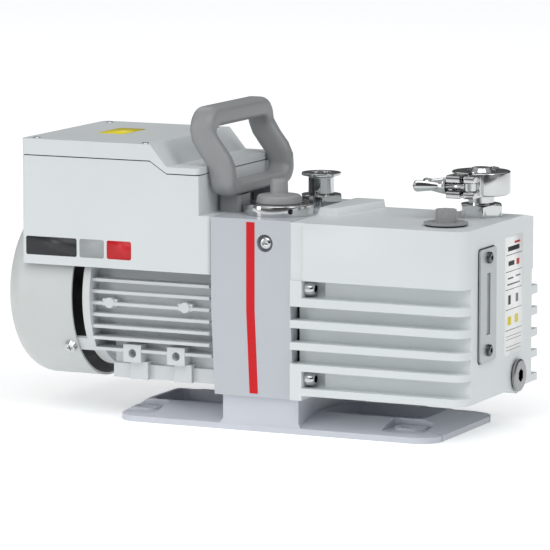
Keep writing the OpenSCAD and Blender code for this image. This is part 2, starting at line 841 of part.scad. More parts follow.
// A coil spring about a line along Y, as a swept wire of six sides
module coil_spring(x, y0, y1, r, wire, turns) {
    steps = turns * 12;
    rings = [for (i = [0:steps]) let (a = 30 * i, y = y0 + (y1 - y0) * i / steps)
        [for (k = [0:5]) let (b = 60 * k)
            [x + (r + wire * cos(b)) * cos(a), y + wire * sin(b), axis_z + (r + wire * cos(b)) * sin(a)]]];
    polyhedron(
        points = [for (ring = rings) each ring],
        faces = concat(
            [[for (k = [0:5]) k]],
            [for (i = [0:steps - 1], k = [0:5]) let (n = (k + 1) % 6)
                [6 * i + k, 6 * i + 6 + k, 6 * i + 6 + n, 6 * i + n]],
            [[for (k = [5:-1:0]) 6 * steps + k]]));
}

module vane_springs() {
    color(c_steel) for (x = [hv_x0 + 8, hv_x1 - 8, lv_x0 + 4.5, lv_x1 - 4.5])
        coil_spring(x, -vane_root + 0.5, vane_root - 0.5, 1.7, 0.35, 4);
}

// ---- ports ----

// A small-flange port standing on a hexagon: base height, height of its sealing face, stub depth
module flange_port(z0, face, stub) {
    difference() {
        union() {
            translate([0, 0, z0 - stub]) cylinder(h = stub + eps, r = port_tube_r);
            intersection() {
                translate([0, 0, z0]) rotate(-3) cylinder(h = 9.4, r = 17.25, $fn = 6);
                translate([0, 0, z0]) union() {
                    cylinder(h = 8.1, r = 17.15);
                    translate([0, 0, 8.1 - eps]) cylinder(h = 1.3 + eps, r1 = 17.15, r2 = 15);
                }
            }
            translate([0, 0, z0]) cylinder(h = face - z0 - 3, r = port_tube_r);
            flange_rim(face, -1);
        }
        translate([0, 0, z0 - stub - 1]) cylinder(h = 80, r = port_bore_r);
        translate([0, 0, face - 2.6]) cylinder(h = 5, r = port_bore_r + 0.6);
    }
}

// A flange rim with its 15 degree back: dir -1 hangs below its face, +1 stands above
module flange_rim(face, dir) {
    back = flange_rim_t + (flange_r - port_tube_r) * flange_slope;
    translate([0, 0, face]) mirror([0, 0, dir < 0 ? 1 : 0]) union() {
        cylinder(h = flange_rim_t, r = flange_r);
        translate([0, 0, flange_rim_t - eps])
            cylinder(h = back - flange_rim_t + eps, r1 = flange_r, r2 = port_tube_r);
    }
}

module inlet_port() {
    color(c_steel) translate([inlet_pos.x, inlet_pos.y, 0]) flange_port(housing_top, inlet_face_z, 12.7);
}

module outlet_port() {
    color(c_steel) translate([outlet_pos.x, outlet_pos.y, 0]) flange_port(case_top, outlet_face_z, 8);
}

module ballast_ring() {
    color(c_steel) translate([ballast_pos.x, ballast_pos.y, 0]) difference() {
        union() {
            translate([0, 0, housing_top]) cylinder(h = ballast_top - housing_top - 1, r = ballast_ring_r);
            translate([0, 0, ballast_top - 1 - eps])
                cylinder(h = 1 + eps, r1 = ballast_ring_r, r2 = ballast_ring_r - 1);
            translate([0, 0, housing_top - 12]) cylinder(h = 12 + eps, r = 4.15);
        }
        translate([0, 0, housing_top - 20]) cylinder(h = 40, r = 3 + run_gap);
        translate([0, 0, ballast_top - 1.2]) cylinder(h = 5, r = 19);
        // spanner hole, and one opposite
        for (a = [-47, 133]) rotate(a) translate([20, 0, 165]) rotate([0, 90, 0]) cylinder(h = 12, r = 2);
    }
}

module ballast_knob() {
    color(c_grey) translate([ballast_pos.x, ballast_pos.y, 0]) {
        difference() {
            union() {
                translate([0, 0, ballast_top - 0.9]) cylinder(h = 5.4, r = 17.4);
                translate([0, 0, ballast_top + 4.5 - eps]) cylinder(h = 2, r1 = 17.4, r2 = 14.9);
                translate([0, 0, ballast_top + 5]) cylinder(h = 11.5, r = 6.8);
                translate([0, 0, ballast_top + 16.5 - eps]) cylinder(h = 1.2, r1 = 6.8, r2 = 5.6);
            }
            // arrow-shaped air notch under the rim
            translate([0, -18, ballast_top - 1.5]) cylinder(h = 3, r = 3);
        }
        translate([0, 0, housing_top - 10]) cylinder(h = ballast_top - housing_top + 10, r = 3);
    }
}

// ---- outlet clamp ----

module centring_ring() {
    color("#B9BBBC") translate([outlet_pos.x, outlet_pos.y, 0]) difference() {
        union() {
            translate([0, 0, outlet_face_z - 2.4]) cylinder(h = seal_gap + 4.8, r = port_bore_r + 0.5);
            translate([0, 0, outlet_face_z + 0.02]) cylinder(h = seal_gap - 0.04, r = 10.2);
            translate([0, 0, clamp_mid_z]) rotate_extrude() translate([11, 0]) circle(1.75);
        }
        translate([0, 0, outlet_face_z - 5]) cylinder(h = 20, r = port_bore_r - 0.6);
    }
}

module blank_flange() {
    face = outlet_face_z + seal_gap;
    color(c_steel) translate([outlet_pos.x, outlet_pos.y, 0]) difference() {
        union() {
            flange_rim(face, 1);
            translate([0, 0, face]) cylinder(h = 6, r = port_tube_r);
            translate([0, 0, face + 6 - eps]) cylinder(h = 3.8, r1 = port_tube_r, r2 = 7.6);
        }
        translate([0, 0, face - 1]) cylinder(h = 3.6, r = port_bore_r + 0.6);
    }
}

// The clamp's ring: grooved inside to draw the two flange rims together
module clamp_ring() {
    gap = 0.3;
    lip = 11.8;
    deep = flange_r + gap;
    low = outlet_face_z - flange_rim_t - gap;
    high = outlet_face_z + seal_gap + flange_rim_t + gap;
    drop = (deep - lip) * flange_slope;
    translate([outlet_pos.x, outlet_pos.y, 0]) rotate_extrude() polygon([
        [lip, clamp_z0], [clamp_r - 1.5, clamp_z0], [clamp_r, clamp_z0 + 1.5],
        [clamp_r, clamp_z1 - 3], [clamp_r - 2.5, clamp_z1], [lip, clamp_z1],
        [lip, high + drop], [deep, high], [deep, low], [lip, low - drop]]);
}

// One side of the ring: side -1 is left of the split, +1 right
module clamp_half(side) {
    split = 1.5;
    hinge_cut = 5.2;
    difference() {
        intersection() {
            clamp_ring();
            translate([outlet_pos.x + (side > 0 ? split : -60 - split), -60, 150]) cube([60, 160, 80]);
        }
        translate([hinge_pin.x, hinge_pin.y, 150]) cylinder(h = 80, r = hinge_cut);
    }
}

// Knuckle of the hinge between two heights, joined to one side of the ring
module knuckle(side, z0, z1) {
    translate([hinge_pin.x, hinge_pin.y, z0]) cylinder(h = z1 - z0, r = 4.4);
    translate([side > 0 ? hinge_pin.x : hinge_pin.x - 9.5, hinge_pin.y - 5.4, z0])
        cube([9.5, 6, z1 - z0]);
}

// The forked lug at the front of each half; the bolt lies in its slot
module forked_lug(x0, x1) {
    difference() {
        block([x0, -15, clamp_z0 + 0.4], [x1, 6.5, clamp_z1 - 0.4]);
        block([x0 - 1, -20, clamp_mid_z - 3.4], [x1 + 1, -2.5, clamp_mid_z + 3.4]);
    }
}

// The lug stops inside the ring's wall, clear of the flange rims
module trimmed_lug(x0, x1) {
    difference() {
        forked_lug(x0, x1);
        translate([outlet_pos.x, outlet_pos.y, 160]) cylinder(h = 50, r = 18.5);
    }
}

knuckle_z = [clamp_z0, 181.8, 188.8, clamp_z1];

module clamp_right() {
    color(c_steel) difference() {
        union() {
            clamp_half(1);
            knuckle(1, knuckle_z[1] + 0.2, knuckle_z[2] - 0.2);
            trimmed_lug(outlet_pos.x + 1.5, outlet_pos.x + 10);
        }
        translate([hinge_pin.x, hinge_pin.y, 150]) cylinder(h = 80, r = 1.8);
        translate([bolt_pin.x, bolt_pin.y, 150]) cylinder(h = 80, r = 2);
    }
}

module clamp_left() {
    color(c_steel) difference() {
        union() {
            clamp_half(-1);
            knuckle(-1, knuckle_z[0], knuckle_z[1]);
            knuckle(-1, knuckle_z[2], knuckle_z[3]);
            intersection() {
                trimmed_lug(outlet_pos.x - 15, outlet_pos.x - 1.5);
                translate([bolt_pin.x, bolt_pin.y, 150]) cylinder(h = 80, r = lug_reach);
            }
        }
        translate([hinge_pin.x, hinge_pin.y, 150]) cylinder(h = 80, r = 1.8 + run_gap);
    }
}

module clamp_pins() {
    color(c_steel) {
        translate([hinge_pin.x, hinge_pin.y, clamp_z0 - 0.5]) cylinder(h = clamp_z1 - clamp_z0 + 1, r = 1.8);
        translate([bolt_pin.x, bolt_pin.y, clamp_z0]) cylinder(h = clamp_z1 - clamp_z0, r = 2);
    }
}

module swing_bolt() {
    color(c_steel) difference() {
        union() {
            translate([bolt_pin.x, bolt_pin.y, clamp_mid_z - 3.1]) cylinder(h = 6.2, r = 4.6);
            rod_x(bolt_pin.x - 33, bolt_pin.x - 3, bolt_r, bolt_pin.y, clamp_mid_z);
        }
        translate([bolt_pin.x, bolt_pin.y, 150]) cylinder(h = 80, r = 2 + run_gap);
    }
}

washer_x1 = bolt_pin.x - lug_reach - 0.25;
washer_x0 = washer_x1 - 1.3;

module clamp_washer() {
    color(c_steel) difference() {
        rod_x(washer_x0, washer_x1, 6, bolt_pin.y, clamp_mid_z);
        rod_x(washer_x0 - 1, washer_x1 + 1, bolt_r + run_gap, bolt_pin.y, clamp_mid_z);
    }
}

module wing_nut() {
    x1 = washer_x0 - 0.05;
    y = bolt_pin.y;
    z = clamp_mid_z;
    color(c_steel) difference() {
        union() {
            translate([x1 - 11, y, z]) rotate([0, 90, 0]) cylinder(h = 11, r1 = 4.6, r2 = 6.2);
            // two wings that sweep back along the bolt
            for (s = [-1, 1]) hull() {
                translate([x1 - 5, y + s * 3.8 + 1.9, z]) rotate([90, 0, 0]) cylinder(h = 3.8, r = 3, $fn = 24);
                translate([x1 - 19.5, y + s * 9.6 + 1.6, z]) rotate([90, 0, 0]) cylinder(h = 3.2, r = 4.8, $fn = 24);
            }
        }
        rod_x(x1 - 40, x1 + 1, bolt_r + run_gap, y, z);
    }
}

// ---- oil case ----

module case_slab(z0, z1, x0 = housing_x1) {
    translate([0, 0, z0]) linear_extrude(z1 - z0)
        plan_outline(x0, case_x1, -case_half_y, case_half_y, [0, case_corner_r, case_corner_r, 0]);
}

module oil_case() {
    core_y = case_half_y - groove_depth;
    color(c_shell) difference() {
        union() {
            block([housing_x1, -core_y, case_bottom], [case_x1, core_y, block_bottom + 1]);
            // the back of the upper block leans in towards a dropped top edge
            intersection() {
                case_slab(block_bottom, case_top);
                along_x(housing_x1 - 1, case_x1 + 1)
                    polygon([[-90, block_bottom - 1], [case_half_y + 0.3, block_bottom - 1],
                             [case_half_y - 5, case_top - 4], [44, case_top], [-90, case_top + 1]]);
            }
            // fins: their front corners follow the block, their rear corners are nearly square
            for (f = fins) translate([0, 0, f[0]]) linear_extrude(f[1] - f[0])
                plan_outline(housing_x1, case_x1, -case_half_y, case_half_y + 1.6, [0, 2, case_corner_r, 0]);
            // flange posts that the long screws pull against the housing
            block([housing_x1, -case_half_y, fins[0][0]], [post_x, case_half_y, block_bottom]);
            block([housing_x1, -case_half_y, 27.4], [post_x, case_half_y, fins[3][1]]);
            // raised bridge from the inlet side, with a sloping front wall
            hull() {
                translate([0, 0, case_top - 8]) linear_extrude(8)
                    polygon([[housing_x1, 50], [39.3, 50], [43.4, 42.6], [32, -20], [26, -23], [housing_x1, -23]]);
                translate([0, 0, case_top - 8]) linear_extrude(13)
                    polygon([[housing_x1, 50], [39, 50], [42, 43], [28, -17], [housing_x1, -17]]);
            }
            rod_x(case_x1 - 10, case_x1, 14, drain_pos.x, drain_pos.y);
        }
        // gaps beside the joint face, where the grooves run out
        both_sides() for (k = [0:2])
            block([housing_x1 - 1, -core_y - 1, fins[k + 1][1]], [housing_x1 + 2.6, -core_y + 3.8, fins[k][0]]);
        // the front is set back a little over the screw posts
        block([housing_x1 - 1, -case_half_y - 1, block_bottom], [26.6, -case_half_y + 1.2, case_top + 1]);
        // oil space
        block([housing_x1 - 1, -core_y + 6, case_bottom + 6], [case_x1 - case_wall, core_y - 6, case_top - case_wall]);
        for (y = [-cap_screw_y, cap_screw_y], z = cap_screw_z) {
            rod_x(housing_x1 - 1, post_x + 1, 2.7, y, z);
            rod_x(post_x, post_x + 14, 6.6, y, z);
        }
        translate([outlet_pos.x, outlet_pos.y, case_top - 20]) cylinder(h = 30, r = port_tube_r);
        translate([filler_pos.x, filler_pos.y, case_top - 20]) cylinder(h = 30, r = 9 + run_gap);
        rod_x(case_x1 - 20, case_x1 + 1, 7 + run_gap, drain_pos.x, drain_pos.y);
        // window behind the sight glass
        block([case_x1 - 20, sight_y - glass_w / 2, glass_z[0]], [case_x1 + 1, sight_y + glass_w / 2, glass_z[1]]);
        for (z = sight_screw_z) rod_x(case_x1 - 7, case_x1 + 1, 2.1, sight_y, z);
    }
}

// Flat seals: between the oil case and the housing, and in the electronics box's seam
module gaskets() {
    w = 4;
    core_y = case_half_y - groove_depth;
    color(c_dark) along_x(housing_x1 + eps, housing_x1 + 0.8) difference() {
        plan_outline(-core_y + 6, core_y - 6, case_bottom + 6, case_top - case_wall, [3, 3, 3, 3]);
        plan_outline(-core_y + 6 + w, core_y - 6 - w, case_bottom + 6 + w, case_top - case_wall - w, [3, 3, 3, 3]);
    }
    hy = ebox_half_y;
    color(c_dark) intersection() {
        along_y(hy) polygon([[ebox_x0, seam_high + eps], [slope_x0, seam_high + eps],
            [slope_x1, seam_low + eps], [ebox_x1, seam_low + eps],
            [ebox_x1, seam_low + seam_gap - eps], [slope_x1, seam_low + seam_gap - eps],
            [slope_x0, seam_high + seam_gap - eps], [ebox_x0, seam_high + seam_gap - eps]]);
        difference() {
            rounded_slab(ebox_x0 + 1, ebox_x1 - 1, -hy + 1, hy - 1, 3, 170, 230);
            block([ebox_x0 + 4, -hy + 4, 160], [ebox_x1 - 4, hy - 4, 240]);
        }
    }
}

module case_screws() {
    color(c_steel) {
        for (y = [-cap_screw_y, cap_screw_y], z = cap_screw_z)
            cap_screw_x(0, post_x, y, z, 2.5, 5.6, 8);
        translate([-5, -housing_half_y + 5, 143.2]) rotate([90, 0, 0]) difference() {
            union() {
                translate([0, 0, -16]) cylinder(h = 16.01, r = 3);
                cylinder(h = 2.5, r = 5.3);
                translate([0, 0, 2.5 - eps]) cylinder(h = 2, r1 = 5.3, r2 = 3.4);
            }
            translate([0, 0, 2.2]) cylinder(h = 5, r = 2.3, $fn = 6);
        }
    }
}

module filler_seal() {
    color(c_dark) translate([filler_pos.x, filler_pos.y, case_top + 0.3]) difference() {
        cylinder(h = 1, r = filler_r - 1);
        translate([0, 0, -1]) cylinder(h = 3, r = 8.8 + run_gap);
    }
}

module filler_plug() {
    z0 = case_top + 1.35;
    color(c_grey) translate([filler_pos.x, filler_pos.y, 0]) {
        translate([0, 0, case_top - 8]) cylinder(h = 9.4, r = 8.8);
        translate([0, 0, z0]) cylinder(h = 1.2, r = filler_r);
        difference() {
            translate([0, 0, z0 + 1.2 - eps]) cylinder(h = 9.6, r = 7.8);
            for (a = [0:45:315]) rotate(a) translate([9.6, 0, z0 + 1.2]) cylinder(h = 12, r = 2.4, $fn = 24);
        }
    }
}

module sight_frame() {
    color("#B5B9BC") difference() {
        rounded_slab_x(case_x1, case_x1 + 2, sight_y - sight_w / 2, sight_y + sight_w / 2,
                       sight_z[0], sight_z[1], 3);
        block([case_x1 - 1, sight_y - glass_w / 2, glass_z[0]], [case_x1 + 5, sight_y + glass_w / 2, glass_z[1]]);
        for (z = sight_screw_z) rod_x(case_x1 - 1, case_x1 + 5, 2.1, sight_y, z);
    }
}

module sight_glass() {
    color("#CFE0DE") block([case_x1 - 6, sight_y - glass_w / 2 + 0.05, glass_z[0] + 0.05],
                           [case_x1 + 1, sight_y + glass_w / 2 - 0.05, glass_z[1] - 0.05]);
}

module sight_screws() {
    color(c_steel) for (z = sight_screw_z) cap_screw_x(case_x1 - 6, case_x1 + 2, sight_y, z, 2, 4.4, 2.6);
}

module drain_seal() {
    color(c_dark) difference() {
        rod_x(case_x1 + 0.3, case_x1 + 1.2, drain_r - 0.8, drain_pos.x, drain_pos.y);
        rod_x(case_x1 - 1, case_x1 + 3, 6.95, drain_pos.x, drain_pos.y);
    }
}

module drain_plug() {
    x0 = case_x1 + 1.25;
    color("#9A9C9C") difference() {
        union() {
            rod_x(case_x1 - 9, x0 + eps, 6.9, drain_pos.x, drain_pos.y);
            rod_x(x0, x0 + 1.6, drain_r, drain_pos.x, drain_pos.y);
            translate([x0 + 1.6 - eps, drain_pos.x, drain_pos.y]) rotate([0, 90, 0])
                cylinder(h = 0.8, r1 = drain_r, r2 = drain_r - 1.2);
        }
        rod_x(case_x1 - 3, x0 + 5, 5.2, drain_pos.x, drain_pos.y, 6);
    }
}

base_plate();
base_feet();
coupling_housing();
housing_stripe();
ebox_housing();
ebox_lid();
panel_screws();
power_inlet();
power_rocker();
run_capacitor();
handle();
handle_blocks();
motor_frame();
rear_endbell();
stator_core();
stator_windings();
motor_bearings();
motor_shaft();
motor_rotor();
fan();
fan_cowl();
motor_hub();
coupling_spider();
pump_hub();
shaft_seal();
inner_plate();
hv_stator();
mid_plate();
lv_stator();
outer_plate();
pump_bolts();
exhaust_valves();
pump_rotor();
hv_vane_a();
hv_vane_b();
lv_vane_a();
lv_vane_b();
vane_springs();
inlet_port();
ballast_ring();
ballast_knob();
outlet_port();
centring_ring();
blank_flange();
clamp_right();
clamp_left();
clamp_pins();
swing_bolt();
clamp_washer();
wing_nut();
oil_case();
gaskets();
case_screws();
filler_seal();
filler_plug();
sight_frame();
sight_glass();
sight_screws();
drain_seal();
drain_plug();
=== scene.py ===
"""A two-stage rotary vane vacuum pump with its fan-cooled motor, electronics box and oil case.

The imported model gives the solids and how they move. This file gives every surface its finish, and
makes the outer pieces again with their rolled edges, turned rims and small fittings worked out.
Metres throughout; +X runs along the shaft to the oil case, -Y faces the operator, +Z is up.
"""

import json
import math

import bmesh
import bpy
import numpy as np
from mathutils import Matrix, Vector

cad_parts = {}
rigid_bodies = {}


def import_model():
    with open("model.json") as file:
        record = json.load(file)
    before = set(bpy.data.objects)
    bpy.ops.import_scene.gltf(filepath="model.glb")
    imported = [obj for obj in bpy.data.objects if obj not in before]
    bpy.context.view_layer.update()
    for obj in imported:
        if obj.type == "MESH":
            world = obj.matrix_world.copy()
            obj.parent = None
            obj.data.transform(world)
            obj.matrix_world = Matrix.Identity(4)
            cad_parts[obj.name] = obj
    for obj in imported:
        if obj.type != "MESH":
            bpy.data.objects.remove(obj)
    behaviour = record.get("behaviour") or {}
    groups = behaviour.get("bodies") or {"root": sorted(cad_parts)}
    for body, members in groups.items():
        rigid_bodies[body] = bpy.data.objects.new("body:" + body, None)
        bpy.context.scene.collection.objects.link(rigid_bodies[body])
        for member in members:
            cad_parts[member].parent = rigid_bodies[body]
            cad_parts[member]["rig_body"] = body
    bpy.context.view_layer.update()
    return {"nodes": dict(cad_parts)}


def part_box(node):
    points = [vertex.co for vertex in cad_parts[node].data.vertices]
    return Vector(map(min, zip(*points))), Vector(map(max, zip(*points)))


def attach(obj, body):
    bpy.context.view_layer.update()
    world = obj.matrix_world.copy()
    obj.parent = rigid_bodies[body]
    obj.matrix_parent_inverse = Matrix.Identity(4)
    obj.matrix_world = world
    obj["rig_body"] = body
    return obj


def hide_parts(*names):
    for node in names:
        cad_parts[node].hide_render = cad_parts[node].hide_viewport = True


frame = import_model()
mm = 0.001

# ---- Camera ----
# A long lens on the operator's side, a little above the pump and round towards the oil case.
aim = np.array([-29.25, 0.0, 109.16]) * mm
azimuth, elevation, distance = math.radians(24.78), math.radians(7.98), 3.3556
level = math.cos(elevation)
heading = np.array([level * math.sin(azimuth), -level * math.cos(azimuth), math.sin(elevation)])
camera = bpy.data.objects.new("camera", bpy.data.cameras.new("camera"))
bpy.context.scene.collection.objects.link(camera)
camera.data.lens, camera.data.sensor_width = 289.8, 36.0
camera.location = aim + distance * heading
camera.rotation_euler = Vector(-heading).to_track_quat("-Z", "Y").to_euler()
bpy.context.scene.camera = camera

# ---- Base plate and its feet ----
# A dished aluminium casting, powder coated blue-grey, with a raised seat that the coupling housing
# is bolted down to. Moulded rubber feet push into pockets at its four corners.


def srgb(text):
    """The linear colour of an sRGB hex value."""
    c = np.array([int(text[i : i + 2], 16) for i in (1, 3, 5)]) / 255
    return (*np.where(c <= 0.04045, c / 12.92, ((c + 0.055) / 1.055) ** 2.4), 1.0)


def add(tree, kind, inputs=None, **settings):
    """Adds one shader node, sets its properties, and fills or links its sockets."""
    made = tree.nodes.new(kind)
    for name, value in settings.items():
        setattr(made, name, value)
    for name, value in (inputs or {}).items():
        if isinstance(value, bpy.types.NodeSocket):
            tree.links.new(value, made.inputs[name])
        else:
            made.inputs[name].default_value = value
    return made


def new_material(name):
    """An empty node material and its tree, with the piece's own coordinates ready."""
    made = bpy.data.materials.new(name)
    made.use_nodes = True
    made.node_tree.nodes.clear()
    place = add(made.node_tree, "ShaderNodeTexCoord").outputs["Object"]
    return made, made.node_tree, place


def powder_coat(name, colour, peel=1.4 * mm, relief=0.02 * mm, rough=0.42, drift=0.035, ior=1.5):
    """Baked powder coat: even colour that drifts a little over the hand's width, and orange peel
    a millimetre or so across that breaks up its soft highlight."""
    made, tree, place = new_material(name)
    base = np.array(srgb(colour))[:3]
    broad = {"Vector": place, "Scale": 1 / (60 * mm), "Detail": 3.0}
    cloud = add(tree, "ShaderNodeTexNoise", broad).outputs["Fac"]
    shades = {"Fac": cloud, "Color1": (*base * (1 - drift), 1), "Color2": (*base * (1 + drift), 1)}
    tint = add(tree, "ShaderNodeMixRGB", shades).outputs["Color"]
    fine = {"Vector": place, "Scale": 1 / peel, "Detail": 2.0}
    grain = add(tree, "ShaderNodeTexNoise", fine).outputs["Fac"]
    sheen = {"Value": cloud, "To Min": rough - 0.05, "To Max": rough + 0.05}
    gloss = add(tree, "ShaderNodeMapRange", sheen).outputs["Result"]
    dents = {"Height": grain, "Distance": relief, "Strength": 0.6}
    normal = add(tree, "ShaderNodeBump", dents).outputs["Normal"]
    skin = {"Base Color": tint, "Roughness": gloss, "Normal": normal, "IOR": ior}
    shader = add(tree, "ShaderNodeBsdfPrincipled", skin)
    add(tree, "ShaderNodeOutputMaterial", {"Surface": shader.outputs["BSDF"]})
    return made


def moulded(name, colour, grain=0.7 * mm, relief=0.015 * mm, rough=0.5, drift=0.05):
    """Moulded plastic or rubber: spark-eroded tool texture under a millimetre across, and a
    sheen that varies where the melt cooled unevenly."""
    made, tree, place = new_material(name)
    base = np.array(srgb(colour))[:3]
    broad = {"Vector": place, "Scale": 1 / (30 * mm), "Detail": 2.0}
    cloud = add(tree, "ShaderNodeTexNoise", broad).outputs["Fac"]
    shades = {"Fac": cloud, "Color1": (*base * (1 - drift), 1), "Color2": (*base * (1 + drift), 1)}
    tint = add(tree, "ShaderNodeMixRGB", shades).outputs["Color"]
    spark = add(tree, "ShaderNodeTexVoronoi", {"Vector": place, "Scale": 1 / grain}).outputs["Distance"]
    dents = {"Height": spark, "Distance": relief, "Strength": 0.5}
    normal = add(tree, "ShaderNodeBump", dents).outputs["Normal"]
    sheen = {"Value": cloud, "To Min": rough - 0.06, "To Max": rough + 0.06}
    gloss = add(tree, "ShaderNodeMapRange", sheen).outputs["Result"]
    skin = {"Base Color": tint, "Roughness": gloss, "Normal": normal, "IOR": 1.49}
    shader = add(tree, "ShaderNodeBsdfPrincipled", skin)
    add(tree, "ShaderNodeOutputMaterial", {"Surface": shader.outputs["BSDF"]})
    return made


def rolled_edges(node, radius, long_edge=9 * mm, small=0.3, steps=3, soften=None):
    """A copy of a machined or cast solid with its sharp edges rolled over: edges longer than
    long_edge take the full radius, and shorter ones a fraction of it, as a file leaves them.
    soften can lower the share of the radius by where an edge's middle lies."""
    crease = math.radians(28)
    mesh = frame["nodes"][node].data.copy()
    mesh.name = node + "_rolled"
    work = bmesh.new()
    work.from_mesh(mesh)
    bmesh.ops.remove_doubles(work, verts=work.verts, dist=1e-6)
    bmesh.ops.dissolve_limit(work, angle_limit=math.radians(0.4), verts=work.verts, edges=work.edges)
    work.to_mesh(mesh)
    work.free()
    ends = np.zeros(len(mesh.edges) * 2, np.int32)
    mesh.edges.foreach_get("vertices", ends)
    where = np.zeros(len(mesh.vertices) * 3)
    mesh.vertices.foreach_get("co", where)
    where = where.reshape(-1, 3)[ends.reshape(-1, 2)]
    span = np.linalg.norm(where[:, 1] - where[:, 0], axis=1)
    share = np.where(span > long_edge, 1.0 if soften is None else soften(where.mean(axis=1)), small)
    work = bmesh.new()
    work.from_mesh(mesh)
    sharp = np.array([e.is_manifold and e.calc_face_angle() > crease for e in work.edges], float)
    work.free()
    weight = mesh.attributes.new("bevel_weight_edge", "FLOAT", "EDGE")
    weight.data.foreach_set("value", share * sharp)
    piece = bpy.data.objects.new(node + "_piece", mesh)
    bpy.context.scene.collection.objects.link(piece)
    bevel = piece.modifiers.new("rolled", "BEVEL")
    bevel.width, bevel.segments = radius, steps
    bevel.limit_method, bevel.harden_normals = "WEIGHT", True
    mesh.shade_smooth()
    mesh.set_sharp_from_angle(angle=crease)
    return piece


def fit(piece, finish, node):
    """Gives a piece its finish, and lets it stand for its CAD node on that node's body."""
    piece.data.materials.clear()
    piece.data.materials.append(finish)
    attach(piece, frame["nodes"][node]["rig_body"])
    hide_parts(node)


def coat(finish, *nodes):
    """Gives CAD nodes whose shape is right their finish."""
    for node in nodes:
        for held in frame["nodes"][node].material_slots:
            held.material = finish


base_paint = powder_coat("blue_grey_powder_coat", "#C4C7CF", rough=0.45)
fit(rolled_edges("base_plate", 1.1 * mm), base_paint, "base_plate")
black_rubber = moulded("black_moulded_rubber", "#232527", rough=0.62)
fit(rolled_edges("base_feet", 1.0 * mm), black_rubber, "base_feet")

# ---- Coupling housing ----
# An aluminium casting between motor and pump, milled flat on its sides and powder coated. A red
# enamel band is let into its front and back faces.
housing_paint = powder_coat("light_grey_powder_coat", "#B7BBC1", rough=0.4)
fit(rolled_edges("coupling_housing", 1.4 * mm), housing_paint, "coupling_housing")
red_enamel = powder_coat("red_enamel", "#C8141C", peel=2.5 * mm, relief=0.01 * mm, rough=0.45, ior=1.33)
coat(red_enamel, "housing_stripe")

# ---- Electronics box ----
# Folded and cast aluminium halves, powder coated pale grey, that part at a thin seam. The far end
# carries a moulded panel with the mains socket and switch, and printed films are stuck on the side
# and the lid.
shell_paint = powder_coat("pale_grey_powder_coat", "#D2D7D8", rough=0.38)
fit(rolled_edges("ebox_housing", 1.2 * mm), shell_paint, "ebox_housing")
fit(rolled_edges("ebox_lid", 2.2 * mm, steps=4), shell_paint, "ebox_lid")
black_plastic = moulded("black_moulded_plastic", "#1F2123", rough=0.4)


def filleted(corners, radii, steps=6):
    """A polyline whose corners are swapped for arcs: each arc is tangent to both its sides. The
    first and last points of an open line take radius 0."""
    corners = np.asarray(corners, float)
    points = []
    count = len(corners)
    for i, radius in enumerate(radii):
        here = corners[i]
        if radius <= 0:
            points.append(here[None])
            continue
        to_last, to_next = corners[i - 1] - here, corners[(i + 1) % count] - here
        to_last, to_next = to_last / np.linalg.norm(to_last), to_next / np.linalg.norm(to_next)
        half = math.acos(np.clip(to_last @ to_next, -1, 1)) / 2
        reach = radius / math.tan(half)
        middle = here + (to_last + to_next) / np.linalg.norm(to_last + to_next) * radius / math.sin(half)
        first, last = here + to_last * reach - middle, here + to_next * reach - middle
        turn = math.pi - 2 * half
        t = np.linspace(0, 1, steps)[:, None]
        points.append(middle + (np.sin((1 - t) * turn) * first + np.sin(t * turn) * last) / math.sin(turn))
    return np.concatenate(points)


def surface(name, grid, wrap_u=False, wrap_v=False, ends=False):
    """A mesh through a grid of points (u, v, xyz). wrap_u and wrap_v join its opposite sides, and
    ends closes the first and last row with a flat face. Poles are merged and faces turned out."""
    nu, nv = grid.shape[:2]
    u, v = np.arange(nu if wrap_u else nu - 1), np.arange(nv if wrap_v else nv - 1)
    u, v = [a.ravel() for a in np.meshgrid(u, v, indexing="ij")]
    un, vn = (u + 1) % nu, (v + 1) % nv
    faces = np.stack([u * nv + v, un * nv + v, un * nv + vn, u * nv + vn], axis=1).tolist()
    if ends:
        faces += [list(range(nv))[::-1], list(range((nu - 1) * nv, nu * nv))]
    mesh = bpy.data.meshes.new(name)
    mesh.from_pydata(grid.reshape(-1, 3), [], faces)
    work = bmesh.new()
    work.from_mesh(mesh)
    bmesh.ops.remove_doubles(work, verts=work.verts, dist=1e-6)
    bmesh.ops.recalc_face_normals(work, faces=work.faces)
    work.to_mesh(mesh)
    work.free()
    mesh.shade_smooth()
    piece = bpy.data.objects.new(name, mesh)
    bpy.context.scene.collection.objects.link(piece)
    return piece


def slab(name, outline, low, high, roll=0.0, axis="Z", steps=4):
    """A closed outline carried along an axis from low to high, its edges rolled over: near each
    end it draws in along its own normals by a quarter circle's depth. Millimetres in."""
    outline = np.asarray(outline, float)
    sides = outline - np.roll(outline, 1, axis=0)
    sides /= np.maximum(np.linalg.norm(sides, axis=1, keepdims=True), 1e-9)
    normal = (np.roll(sides, -1, axis=0) + sides)[:, ::-1] * (1, -1)
    normal /= np.maximum(np.linalg.norm(normal, axis=1, keepdims=True), 1e-9)
    x, y = outline.T
    area = np.sum(x * np.roll(y, -1) - np.roll(x, -1) * y)
    normal *= math.copysign(1, area)
    t = np.linspace(0, math.pi / 2, steps) if roll else np.array([math.pi / 2])
    inset, rise = roll * (1 - np.sin(t)), roll * (1 - np.cos(t))
    inset = np.concatenate([inset, inset[::-1]])
    level = np.concatenate([low + rise, high - rise[::-1]])
    flat = outline[None] - normal[None] * inset[:, None, None]
    along = np.broadcast_to(level[:, None], flat.shape[:2])
    a, b = flat[..., 0], flat[..., 1]
    order = {"Z": (a, b, along), "X": (along, a, b), "Y": (a, along, b)}[axis]
    return surface(name, np.stack(order, axis=2) * mm, wrap_v=True, ends=True)


